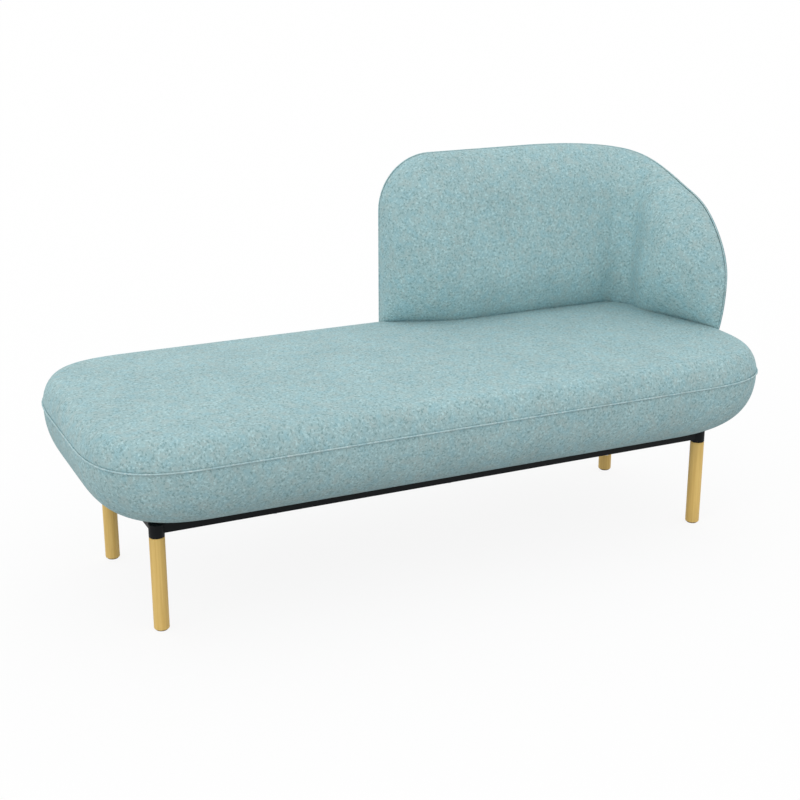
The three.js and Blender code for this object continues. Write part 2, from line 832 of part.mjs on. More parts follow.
// Depth of the outer side of the padding, which is shallow and even.
function outerDepth(along, height, skin) {
  const inside = Math.min(along - backStart, backEnd - along, rimHeight(along, skin) - height + skin) - skin;
  return -(rimHalf - skin + outerPadDepth * edgeShare(inside, outerPadReach - skin));
}

function roundReach(rim) {
  return Math.min(padTopReach, tallestRoundShare * (rim - weltHeight - crownEdgeRise));
}

// A grid of points over the wall: columns along it, rows from the rim down to the seat.
function backGrid(margin, depthAt, footInset, footDrop) {
  return rimPlaces(margin).map(({ along, height }) => {
    const foot = footHeight(along, depthAt, footInset) - footDrop;
    return rowHeights(height, foot).map((z) => backPoint(along, z, depthAt(along, z)));
  });
}

// Rows of a column: close together where the padding rounds over its top, then down to the foot.
function rowHeights(top, foot) {
  const round = Math.min(padTopReach, tallestRoundShare * (top - foot));
  const heights = roundRowShares.map((share) => top - round * (1 - Math.cos(share * rightAngle)));
  const low = heights.at(-1);
  return [...heights, ...lowRowShares.map((share) => low - (low - foot) * share)];
}

function footHeight(along, depthAt, footInset) {
  const guess = weltHeight + crownEdgeRise;
  const first = backPoint(along, guess, depthAt(along, guess));
  return seatTopAt(first.x, first.y, footInset) + footGap;
}

// The seat's top, a foot gap larger, which the covers over it are cut to.
function seatEnvelope() {
  const low = [-footGap - overrun, -overrun];
  return loft(ringsOf([low, ...crownProfile(-footGap, 0, coverCrownAngleShares)]));
}

function addBackPadding() {
  const seat = seatEnvelope();
  const pad = (skin) => (along, height) => innerDepth(along, height, skin);
  const shell = (skin) => (along, height) => outerDepth(along, height, skin);
  const level = (depth) => () => depth;
  const slots = brackets.map(({ place }) => bracketSlot().applyMatrix4(place));
  const heads = brackets.flatMap(({ place }) => screwHeadRooms().map((room) => room.applyMatrix4(place)));
  const screwHoles = brackets.flatMap(({ place }) => bracketScrewHeights.map((height) => crossBar(
    screwHoleRadius,
    boardHalf + overrun,
    -boardHalf - overrun,
    height,
  ).applyMatrix4(place)));

  const board = slab(
    backGrid(backBoardMargin, level(boardHalf), crownEdgeReach, 0),
    backGrid(backBoardMargin, level(-boardHalf), crownEdgeReach, 0),
  );
  addPiece('back_board', cut(board, screwHoles), finishes.plywood);

  const boardRoom = slab(
    backGrid(backBoardMargin - 2 * clearance, level(boardHalf + clearance), 0, overrun),
    backGrid(backBoardMargin - 2 * clearance, level(-boardHalf - clearance), 0, overrun),
  );
  const innerFoam = slab(
    backGrid(backFoamSkin, pad(backFoamSkin), crownEdgeReach, 0),
    backGrid(backFoamSkin, level(clearance / 2), crownEdgeReach, 0),
  );
  addPiece('back_inner_foam', cut(innerFoam, [boardRoom, ...slots, ...heads]), finishes.foam);

  const outerFoam = slab(
    backGrid(backFoamSkin, level(-clearance / 2), backInset, 0),
    backGrid(backFoamSkin, shell(backFoamSkin), backInset, 0),
  );
  addPiece('back_outer_foam', cut(outerFoam, [boardRoom]), finishes.foam);

  const innerCover = slab(
    backGrid(0, pad(0), 0, footTrim),
    backGrid(coverThickness, pad(coverThickness), 0, footTrim),
  );
  addPiece('back_inner_cover', cut(innerCover, [seat]), finishes.cloth);

  const outerCover = slab(
    backGrid(coverThickness, shell(coverThickness), 0, footTrim),
    backGrid(0, shell(0), 0, footTrim),
  );
  addPiece('back_outer_cover', cut(outerCover, [seat]), finishes.cloth);
}

// The seam cord round the back's rim, from the seat at its left edge to the seat at its nose.
function backWeltGeometry() {
  const foot = footHeight(backStart, () => 0, backInset + backWeltRadius);
  const sides = [];
  for (let side = 0; side < weltSectionSides; side += 1) {
    const angle = (side / weltSectionSides) * 2 * Math.PI;
    const depth = backWeltRadius * Math.cos(angle);
    const rim = rimPlaces(backWeltRadius * Math.sin(angle));
    const edge = (place) => rowHeights(place.height, foot).slice(1)
      .map((height) => backPoint(place.along, height, depth));
    const middle = rim.map(({ along, height }) => backPoint(along, height, depth));
    sides.push([...edge(rim[0]).reverse(), ...middle, ...edge(rim.at(-1))]);
  }
  return loft(sides[0].map((_, i) => sides.map((line) => line[i])));
}

addRails();
addLegs();
addSeat();
addBrackets();
addBackPadding();
addPiece('back_welt', backWeltGeometry(), finishes.welt);

export default chaise;
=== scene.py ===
"""Chaise longue: a long pillow seat on a black steel frame with four wooden legs, and a padded back.

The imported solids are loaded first. The upholstery, the frame and the legs are then modelled at the
same places, dressed in their finishes, and lit in a plain studio. Lengths are in metres.
"""

import logging
import math
from collections.abc import Callable, Sequence
from dataclasses import dataclass, field
from enum import Enum

import bmesh
import bpy
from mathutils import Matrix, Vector


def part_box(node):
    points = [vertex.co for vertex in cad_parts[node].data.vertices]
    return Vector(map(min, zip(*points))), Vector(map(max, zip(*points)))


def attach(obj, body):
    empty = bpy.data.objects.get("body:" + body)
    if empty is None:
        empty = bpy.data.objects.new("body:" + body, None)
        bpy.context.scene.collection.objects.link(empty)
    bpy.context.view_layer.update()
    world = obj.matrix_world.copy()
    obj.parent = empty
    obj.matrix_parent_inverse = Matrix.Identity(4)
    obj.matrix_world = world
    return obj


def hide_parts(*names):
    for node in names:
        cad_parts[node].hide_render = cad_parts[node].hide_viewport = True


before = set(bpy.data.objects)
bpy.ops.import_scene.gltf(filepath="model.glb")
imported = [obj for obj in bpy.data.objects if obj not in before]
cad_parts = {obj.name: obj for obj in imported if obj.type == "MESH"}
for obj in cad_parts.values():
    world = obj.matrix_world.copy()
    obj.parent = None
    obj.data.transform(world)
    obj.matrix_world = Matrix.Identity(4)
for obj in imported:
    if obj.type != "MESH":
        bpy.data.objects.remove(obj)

log = logging.getLogger("chaise")

MM = 0.001
ROOT = "root"
RIGHT_ANGLE = math.pi / 2
UP = Vector((0, 0, 1))
WELD = 0.01 * MM
TIGHT_WELD = 0.001 * MM
FLOAT, COLOUR, VECTOR = "NodeSocketFloat", "NodeSocketColor", "NodeSocketVector"

Mesh = bmesh.types.BMesh
Node = bpy.types.Node
Socket = bpy.types.NodeSocket
Feeds = dict[int | str, object]
Paint = tuple[float, float, float, float]
Profile = list[tuple[float, float]]
Ring = list[Vector]
Depth = Callable[[float, float], float]


class Slot(Enum):
    """The material slots that a piece can have."""

    COVER = "cover_cloth"
    WELT = "welt_cloth"
    LINING = "dust_cloth"
    PLYWOOD = "plywood"
    LEG_WOOD = "leg_wood"
    BLACK_STEEL = "black_steel"
    ZINC = "zinc_steel"
    GLIDE = "glide_plastic"


class Corner(Enum):
    """The seat's four corners, by the words in their pieces' names."""

    FRONT_LEFT = "front_left"
    FRONT_RIGHT = "front_right"
    REAR_LEFT = "rear_left"
    REAR_RIGHT = "rear_right"


# Sums that several shapes share


def mix(first: float, second: float, share: float) -> float:
    """Gives the value at a share of the way from one value to another."""
    return first + (second - first) * share


def ramp(share: float) -> float:
    """Gives a smooth step from 0 to 1 over a share of its way."""
    inside = min(max(share, 0.0), 1.0)
    return inside * inside * (3 - 2 * inside)


def edge_share(distance: float, reach: float) -> float:
    """Gives how far a rounded edge has risen to its full depth, at a distance inside that edge."""
    share = min(max(distance / reach, 0.0), 1.0)
    return math.sqrt(1 - (1 - share) ** 2)


def quarter_turn(steps: int, first: int = 0) -> list[float]:
    """Gives the angles of a quarter turn's steps, from the first one wanted."""
    return [RIGHT_ANGLE * step / steps for step in range(first, steps + 1)]


def whole_turn(steps: int) -> list[float]:
    """Gives the angles of a whole turn's steps."""
    return [math.tau * step / steps for step in range(steps)]


def squircle(angle: float, power: float) -> float:
    """Gives the radius of a squircle of radius one, at an angle from its first side."""
    return (abs(math.cos(angle)) ** power + abs(math.sin(angle)) ** power) ** (-1 / power)


def squircle_quarter(share: float, power: float) -> tuple[float, float]:
    """Gives how far across and how far up a squircle's quarter has come, at a share of its turn."""
    angle = share * RIGHT_ANGLE
    return 1 - max(math.cos(angle), 0.0) ** (2 / power), math.sin(angle) ** (2 / power)


# Shader nodes


def linear(red: int, green: int, blue: int) -> Paint:
    """Turns a display colour into the linear colour that a shader takes.

    Args:
        red: Red, from 0 to 255.
        green: Green, from 0 to 255.
        blue: Blue, from 0 to 255.

    Returns:
        The linear colour with an alpha of 1.
    """
    toe, slope, offset, power = 0.04045, 12.92, 0.055, 2.4

    def channel(value: int) -> float:
        """Makes one channel linear."""
        share = value / 255
        return share / slope if share <= toe else ((share + offset) / (1 + offset)) ** power

    return channel(red), channel(green), channel(blue), 1.0


def shades(**colours: tuple[int, int, int]) -> dict[str, Paint]:
    """Gives linear colours by the names of an effect's inputs."""
    return {name.replace("_", " ").title(): linear(*colour) for name, colour in colours.items()}


class Graph:
    """Adds nodes to one node tree and links them."""

    def __init__(self, tree: bpy.types.NodeTree) -> None:
        """Keeps the tree that the nodes go into."""
        self.tree = tree

    @classmethod
    def fresh(cls, owner: bpy.types.ID) -> "Graph":
        """Empties the node tree of a material or a world.

        Args:
            owner: The material or world.

        Returns:
            The graph of its tree.
        """
        owner.use_nodes = True
        owner.node_tree.nodes.clear()
        return cls(owner.node_tree)

    def add(self, kind: str, feeds: Feeds | None = None, **settings: object) -> Node:
        """Adds a node.

        Args:
            kind: The node's type name.
            feeds: What goes into its inputs, by their names or numbers: a link or a plain value.
            settings: Values for its properties.

        Returns:
            The new node.
        """
        node = self.tree.nodes.new(kind)
        for name, value in settings.items():
            setattr(node, name, value)
        for socket, value in (feeds or {}).items():
            if isinstance(value, Socket):
                self.tree.links.new(value, node.inputs[socket])
            else:
                node.inputs[socket].default_value = value
        return node

    def noise(self, place: object, scale: object, detail: float = 2.0, rough: float = 0.5) -> Socket:
        """Adds fractal noise.

        Args:
            place: The point it is read at.
            scale: Cells for each metre.
            detail: Octaves.
            rough: Weight of the finer octaves.

        Returns:
            The noise, centred on one half.
        """
        feeds = {"Vector": place, "Scale": scale, "Detail": detail, "Roughness": rough}
        return self.add("ShaderNodeTexNoise", feeds).outputs["Fac"]

    def ranged(self, value: object, span: Sequence[float], to: Sequence[float] = (0.0, 1.0)) -> Socket:
        """Maps a value smoothly from one range to another.

        Args:
            value: What is mapped.
            span: Start and end of its range.
            to: What they become.

        Returns:
            The mapped value.
        """
        feeds = dict(enumerate((value, *span, *to)))
        return self.add("ShaderNodeMapRange", feeds, interpolation_type="SMOOTHSTEP").outputs["Result"]

    def blend(self, share: object, first: object, second: object) -> Socket:
        """Mixes two colours by a share and returns the mix."""
        return self.add("ShaderNodeMix", {0: share, 6: first, 7: second}, data_type="RGBA").outputs[2]

    def maths(self, operation: str, first: object, second: object) -> Socket:
        """Adds one sum of two values and returns its result."""
        return self.add("ShaderNodeMath", {0: first, 1: second}, operation=operation).outputs[0]

    def toned(self, colour: object, shade: object) -> Socket:
        """Makes a colour darker or lighter and returns it."""
        return self.add("ShaderNodeVectorMath", {0: colour, "Scale": shade}, operation="SCALE").outputs[0]

    def stretched(self, place: object, scale: Sequence[float], turn: Sequence[float] = (0, 0, 0)) -> Socket:
        """Scales and turns the point that a pattern is read at."""
        feeds = {"Vector": place, "Scale": scale, "Rotation": turn}
        return self.add("ShaderNodeMapping", feeds).outputs["Vector"]


class EffectGroup:
    """A shader node group that several materials share. It gives a colour, a height and a roughness."""

    def __init__(self, name: str, takes: dict[str, str]) -> None:
        """Makes an empty group.

        Args:
            name: The group's name.
            takes: Socket type for each input's name.
        """
        self.tree = bpy.data.node_groups.new(name, "ShaderNodeTree")
        gives = {"Colour": COLOUR, "Height": FLOAT, "Roughness": FLOAT}
        for side, sockets in (("INPUT", takes), ("OUTPUT", gives)):
            for socket, kind in sockets.items():
                self.tree.interface.new_socket(socket, in_out=side, socket_type=kind)
        self.graph = Graph(self.tree)
        self.given = self.graph.add("NodeGroupInput").outputs

    def give(self, colour: Socket, height: Socket, roughness: Socket) -> None:
        """Links what the group gives."""
        self.graph.add("NodeGroupOutput", {"Colour": colour, "Height": height, "Roughness": roughness})

    def place(self, graph: Graph, values: Feeds) -> Node:
        """Puts the group into a material, with a value or link for each input's name."""
        return graph.add("ShaderNodeGroup", values, node_tree=self.tree)


def melange_group() -> EffectGroup:
    """Builds the melange effect: matted fibres of several shades, with a nap that catches the light.

    Returns:
        The group.
    """
    tint_stretch, tint_most = (0.24, 0.24, 0.24), 0.8
    pale_from, deep_from, cool_from, warm_to = (0.50, 0.68), (0.50, 0.66), (0.50, 0.66), (0.34, 0.50)
    broad_scale, nap_scale, nap_weight = 9.0, 1400.0, 0.4
    colours = dict.fromkeys(("Ground", "Pale", "Deep", "Cool", "Warm"), COLOUR)
    group = EffectGroup("melange_wool", {"Place": VECTOR, **colours, "Fleck Scale": FLOAT})
    graph, given = group.graph, group.given
    place, scale = given["Place"], given["Fleck Scale"]
    wide = graph.noise(graph.stretched(place, (1.0, 1.0, 1.0), (0.4, 0.3, 0.2)), scale, 3.0, 0.62)
    cross = graph.noise(graph.stretched(place, (1.12, 0.9, 1.05), (1.1, 0.7, 0.5)), scale, 3.0, 0.6)
    tint = graph.noise(graph.stretched(place, tint_stretch, (0.2, 1.3, 0.9)), scale)
    cloth = graph.blend(graph.ranged(tint, cool_from, (0.0, tint_most)), given["Ground"], given["Cool"])
    cloth = graph.blend(graph.ranged(tint, warm_to, (tint_most, 0.0)), cloth, given["Warm"])
    cloth = graph.blend(graph.ranged(cross, deep_from), cloth, given["Deep"])
    cloth = graph.blend(graph.ranged(wide, pale_from), cloth, given["Pale"])
    shade = graph.ranged(graph.noise(place, broad_scale, 3.0), (0.3, 0.7), (0.965, 1.035))
    nap = graph.noise(place, nap_scale)
    matted = graph.maths("MULTIPLY", wide, 1 - nap_weight)
    height = graph.maths("ADD", matted, graph.maths("MULTIPLY", nap, nap_weight))
    group.give(graph.toned(cloth, shade), height, graph.ranged(nap, (0.2, 0.8), (0.86, 1.0)))
    return group


def grain_group() -> EffectGroup:
    """Builds the wood effect: straight grain along Z with fine pores and slow changes of tone.

    Returns:
        The group.
    """
    slow_stretch, band_stretch = (14.0, 14.0, 3.5), (260.0, 90.0, 5.0)
    fibre_stretch, pore_stretch = (900.0, 900.0, 14.0), (1500.0, 1500.0, 60.0)
    pore_from = (0.66, 0.78)
    colours = dict.fromkeys(("Early Wood", "Late Wood", "Pore"), COLOUR)
    group = EffectGroup("straight_grain", {"Place": VECTOR, **colours})
    graph, given = group.graph, group.given
    place, late = given["Place"], given["Late Wood"]
    slow = graph.noise(graph.stretched(place, slow_stretch), 1.0)
    bands = graph.noise(graph.stretched(place, band_stretch), 1.0, 3.0, 0.6)
    fibres = graph.noise(graph.stretched(place, fibre_stretch), 1.0, 3.0, 0.65)
    pores = graph.noise(graph.stretched(place, pore_stretch), 1.0, 1.0)
    wood = graph.blend(graph.ranged(bands, (0.36, 0.68)), given["Early Wood"], late)
    wood = graph.blend(graph.ranged(fibres, (0.45, 0.75), (0.0, 0.3)), wood, late)
    wood = graph.blend(graph.ranged(pores, pore_from, (0.0, 0.45)), wood, given["Pore"])
    wood = graph.toned(wood, graph.ranged(slow, (0.3, 0.7), (0.95, 1.05)))
    height = graph.maths("SUBTRACT", fibres, graph.ranged(pores, pore_from))
    group.give(wood, height, graph.ranged(fibres, (0.3, 0.7), (0.42, 0.6)))
    return group


def speckle_group() -> EffectGroup:
    """Builds the fine unevenness of coated, plated and moulded surfaces.

    Returns:
        The group.
    """
    handled_scale = 11.0
    takes = {"Place": VECTOR, "Ground": COLOUR, "Worn": COLOUR, "Grain Scale": FLOAT}
    group = EffectGroup("fine_speckle", takes)
    graph, given = group.graph, group.given
    place, worn = given["Place"], given["Worn"]
    fine = graph.noise(place, given["Grain Scale"])
    handled = graph.noise(place, handled_scale, 4.0, 0.6)
    tone = graph.blend(graph.ranged(fine, (0.45, 0.75), (0.0, 0.5)), given["Ground"], worn)
    tone = graph.blend(graph.ranged(handled, (0.5, 0.8), (0.0, 0.35)), tone, worn)
    group.give(tone, fine, handled)
    return group


@dataclass(frozen=True)
class Finish:
    """One finish: an effect group's values and the shader's own.

    Attributes:
        name: The material's name.
        effect: The group that colours it.
        values: The group's inputs.
        bump: Depth of its relief, in metres.
        rough: Lowest and highest roughness, as the effect's own roughness goes from 0 to 1.
        metallic: 1 on bare metal.
        specular: The shader's specular level.
        sheen: Weight of the soft sheen.
        sheen_rough: Roughness of that sheen.
        coat: Weight of a clear coat.
    """

    name: str
    effect: EffectGroup
    values: Feeds
    bump: float
    rough: tuple[float, float] = (0.0, 1.0)
    metallic: float = 0.0
    specular: float = 0.5
    sheen: float = 0.0
    sheen_rough: float = 0.5
    coat: float = 0.0

    def material(self) -> bpy.types.Material:
        """Builds the finish's material.

        Returns:
            The material.
        """
        made = bpy.data.materials.new(self.name)
        graph = Graph.fresh(made)
        place = graph.add("ShaderNodeTexCoord").outputs["Object"]
        effect = self.effect.place(graph, {"Place": place, **self.values}).outputs
        relief = graph.add("ShaderNodeBump", {"Distance": self.bump, "Height": effect["Height"]})
        feeds = {
            "Base Color": effect["Colour"],
            "Normal": relief.outputs["Normal"],
            "Roughness": graph.ranged(effect["Roughness"], (0.0, 1.0), self.rough),
            "Metallic": self.metallic,
            "Specular IOR Level": self.specular,
            "Sheen Weight": self.sheen,
            "Sheen Roughness": self.sheen_rough,
            "Coat Weight": self.coat,
        }
        shader = graph.add("ShaderNodeBsdfPrincipled", feeds)
        graph.add("ShaderNodeOutputMaterial", {"Surface": shader.outputs["BSDF"]})
        return made


class Wardrobe:
    """Every finish of the chaise, each built once as a material."""

    def __init__(self) -> None:
        """Builds the effect groups and the materials."""
        melange, grain, speckle = melange_group(), grain_group(), speckle_group()
        cloth = shades(ground=(162, 193, 196), pale=(184, 215, 218), deep=(132, 163, 166))
        cloth |= shades(cool=(155, 193, 200), warm=(170, 193, 193)) | {"Fleck Scale": 195.0}
        piping = cloth | shades(ground=(178, 206, 209), pale=(200, 218, 219), deep=(150, 184, 190))
        lining = shades(ground=(26, 26, 27), pale=(46, 46, 48), deep=(16, 16, 17))
        lining |= shades(cool=(30, 31, 34), warm=(34, 32, 31)) | {"Fleck Scale": 420.0}
        ash = shades(early_wood=(240, 204, 124), late_wood=(229, 190, 108), pore=(211, 168, 89))
        birch = shades(early_wood=(216, 190, 146), late_wood=(200, 170, 122), pore=(168, 134, 92))
        powder = shades(ground=(15, 18, 20), worn=(24, 27, 29)) | {"Grain Scale": 1600.0}
        plating = shades(ground=(200, 202, 205), worn=(168, 170, 172)) | {"Grain Scale": 900.0}
        moulded = shades(ground=(58, 56, 54), worn=(74, 72, 69)) | {"Grain Scale": 1300.0}
        finishes = {
            Slot.COVER: Finish("melange_cloth", melange, cloth, 0.5 * MM, sheen=0.08, specular=0.2),
            Slot.WELT: Finish("melange_piping", melange, piping, 0.3 * MM, sheen=0.08, specular=0.2),
            Slot.LINING: Finish("black_lining", melange, lining, 0.2 * MM, specular=0.2),
            Slot.LEG_WOOD: Finish("lacquered_ash", grain, ash, 0.08 * MM, specular=0.3, coat=0.06),
            Slot.PLYWOOD: Finish("birch_plywood", grain, birch, 0.1 * MM),
            Slot.BLACK_STEEL: Finish(
                "black_powder_coat", speckle, powder, 0.05 * MM, (0.42, 0.56), specular=0.12
            ),
            Slot.ZINC: Finish("zinc_plate", speckle, plating, 0.02 * MM, (0.25, 0.45), metallic=1.0),
            Slot.GLIDE: Finish("glide_plastic", speckle, moulded, 0.1 * MM, (0.6, 0.8)),
        }
        self.materials = {slot: finish.material() for slot, finish in finishes.items()}

    def dress(self, piece: bpy.types.Object, slot: Slot) -> None:
        """Gives a piece one finish, in place of any other.

        Args:
            piece: The piece.
            slot: Its finish.
        """
        piece.data.materials.clear()
        piece.data.materials.append(self.materials[slot])


# Meshes


class RingSkin:
    """A skin drawn out ring by ring. Each ring has the same count of points, in the same order."""

    def __init__(self, ring: Ring) -> None:
        """Starts the skin.

        Args:
            ring: Its first ring.
        """
        self.mesh = bmesh.new()
        self.index = self.mesh.verts.layers.int.new("place_on_ring")
        made = bmesh.ops.create_circle(self.mesh, segments=len(ring), radius=1.0)["verts"]
        made.sort(key=lambda vert: math.atan2(vert.co.y, vert.co.x) % math.tau)
        for place, vert in enumerate(made):
            vert[self.index] = place
            vert.co = ring[place]
        self.first = self.last = list(self.mesh.edges)

    def draw(self, ring: Ring) -> None:
        """Draws the skin out.

        Args:
            ring: Its next ring.
        """
        made = bmesh.ops.extrude_edge_only(self.mesh, edges=self.last)["geom"]
        for vert in made:
            if isinstance(vert, bmesh.types.BMVert):
                vert.co = ring[vert[self.index]]
        self.last = [edge for edge in made if isinstance(edge, bmesh.types.BMEdge)]

    def cap(self) -> None:
        """Closes both ends with one face each."""
        for edges in (self.first, self.last):
            bmesh.ops.contextual_create(self.mesh, geom=edges)

    def join(self) -> None:
        """Joins the last ring back to the first."""
        bmesh.ops.bridge_loops(self.mesh, edges=self.first + self.last)

    def close_up(self) -> None:
        """Welds the two sides of each end ring, which lie on one line, point to point."""
        bmesh.ops.remove_doubles(self.mesh, verts=self.mesh.verts, dist=WELD)


def skinned(rings: Sequence[Ring], ending: Callable[[RingSkin], None] = RingSkin.cap) -> Mesh:
    """Draws a whole skin.

    Args:
        rings: Its rings, in order.
        ending: How its ends are finished.

    Returns:
        The skin's mesh.
    """
    skin = RingSkin(rings[0])
    for ring in rings[1:]:
        skin.draw(ring)
    ending(skin)
    bmesh.ops.recalc_face_normals(skin.mesh, faces=skin.mesh.faces)
    return skin.mesh


def turned(profile: Profile, centre: Vector, sides: int = 64) -> Mesh:
    """Spins a profile round a standing axis.

    Args:
        profile: Radius and height of each of its points, from the axis back to the axis.
        centre: Foot of the axis.
        sides: Steps of the spin.

    Returns:
        The turned mesh.
    """
    mesh = bmesh.new()
    verts = [mesh.verts.new(centre + Vector((radius, 0, height))) for radius, height in profile]
    edges = [mesh.edges.new(pair) for pair in zip(verts, verts[1:])]
    turn = {"cent": centre, "axis": UP, "angle": math.tau, "steps": sides}
    bmesh.ops.spin(mesh, geom=verts + edges, use_merge=True, use_duplicate=False, **turn)
    bmesh.ops.remove_doubles(mesh, verts=mesh.verts, dist=TIGHT_WELD)
    bmesh.ops.recalc_face_normals(mesh, faces=mesh.faces)
    return mesh


def rounded(radius: float, low: float, high: float, edge: float) -> Profile:
    """Gives the profile of a round bar with rounded edges, from its foot's middle to its top's middle.

    Args:
        radius: The bar's radius.
        low: Height of its foot.
        high: Height of its top.
        edge: Radius of its edges.

    Returns:
        The profile.
    """
    arc = quarter_turn(4)
    foot = [(radius - edge + edge * math.sin(a), low + edge - edge * math.cos(a)) for a in arc]
    head = [(radius - edge + edge * math.cos(a), high - edge + edge * math.sin(a)) for a in arc]
    return [(0.0, low), *foot, *head, (0.0, high)]


def level_ring(centre: Vector, sides: int, radius: float, height: float, corners: int) -> Ring:
    """Gives a level circle, or a polygon with as many points as the circles beside it.

    Args:
        centre: Its middle, seen from above.
        sides: How many points it has.
        radius: The circle's radius, or how far the polygon's sides are from its middle.
        height: Its height.
        corners: The polygon's corners, and none for a circle.

    Returns:
        Its points.
    """
    part = math.tau / max(corners, 1)
    points = []
    for angle in whole_turn(sides):
        reach = radius / math.cos((angle + part / 2) % part - part / 2) if corners else radius
        x, y = centre.x + reach * math.cos(angle), centre.y + reach * math.sin(angle)
        points.append(Vector((x, y, height)))
    return points


def level_area(points: Ring) -> float:
    """Gives the area inside a closed level outline."""
    pairs = zip(points, [*points[1:], points[0]])
    return abs(sum(first.x * second.y - second.x * first.y for first, second in pairs)) / 2


def upright(node: str) -> tuple[Vector, Vector, Vector]:
    """Gives the low and high corner of an upright solid's box, and the foot of its axis."""
    low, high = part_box(node)
    return low, high, Vector(((low.x + high.x) / 2, (low.y + high.y) / 2, 0))


def placed(name: str, data: bpy.types.ID) -> bpy.types.Object:
    """Puts a mesh, a lamp or a camera into the scene.

    Args:
        name: The object's name.
        data: The mesh, lamp or camera.

    Returns:
        The object.
    """
    made = bpy.data.objects.new(name, data)
    bpy.context.scene.collection.objects.link(made)
    return made


def finished(name: str, mesh: Mesh) -> bpy.types.Object:
    """Turns a mesh that is being worked on into an object of the scene.

    Args:
        name: The object's name.
        mesh: The mesh, in place.

    Returns:
        The object.
    """
    data = bpy.data.meshes.new(name)
    mesh.to_mesh(data)
    mesh.free()
    return placed(name, data)


class Workshop:
    """Turns finished meshes into pieces of the chaise."""

    def __init__(self, wardrobe: Wardrobe) -> None:
        """Keeps the finishes."""
        self.wardrobe = wardrobe

    def piece(
        self, name: str, mesh: Mesh, slot: Slot, nodes: Sequence[str] = (), crease: float = 35.0
    ) -> bpy.types.Object:
        """Makes one piece, which rides on the frame's only body.

        Args:
            name: The piece's name.
            mesh: Its mesh, in place.
            slot: Its finish.
            nodes: The solids that it stands for.
            crease: Angle in degrees from which an edge is shaded sharp.

        Returns:
            The piece.
        """
        sharp = math.radians(crease)
        for face in mesh.faces:
            face.smooth = True
        for edge in mesh.edges:
            edge.smooth = not (edge.is_manifold and edge.calc_face_angle(0.0) > sharp)
        made = finished(name, mesh)
        self.wardrobe.dress(made, slot)
        if nodes:
            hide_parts(*nodes)
        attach(made, ROOT)
        log.info("%s: %d faces for %s", name, len(made.data.polygons), ", ".join(nodes) or "no solid")
        return made

    def pad(self, name: str, mesh: Mesh, nodes: Sequence[str]) -> None:
        """Makes one padded piece in the cover cloth, with a subdivision surface.

        Args:
            name: The piece's name.
            mesh: Its mesh, in place.
            nodes: The foam and the cover that it stands for.
        """
        made = self.piece(name, mesh, Slot.COVER, nodes)
        surface = made.modifiers.new("smooth", "SUBSURF")
        surface.levels = surface.render_levels = 1

    def keep(self, node: str, slot: Slot) -> None:
        """Keeps a solid as it is, in its finish."""
        self.wardrobe.dress(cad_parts[node], slot)


# Seat


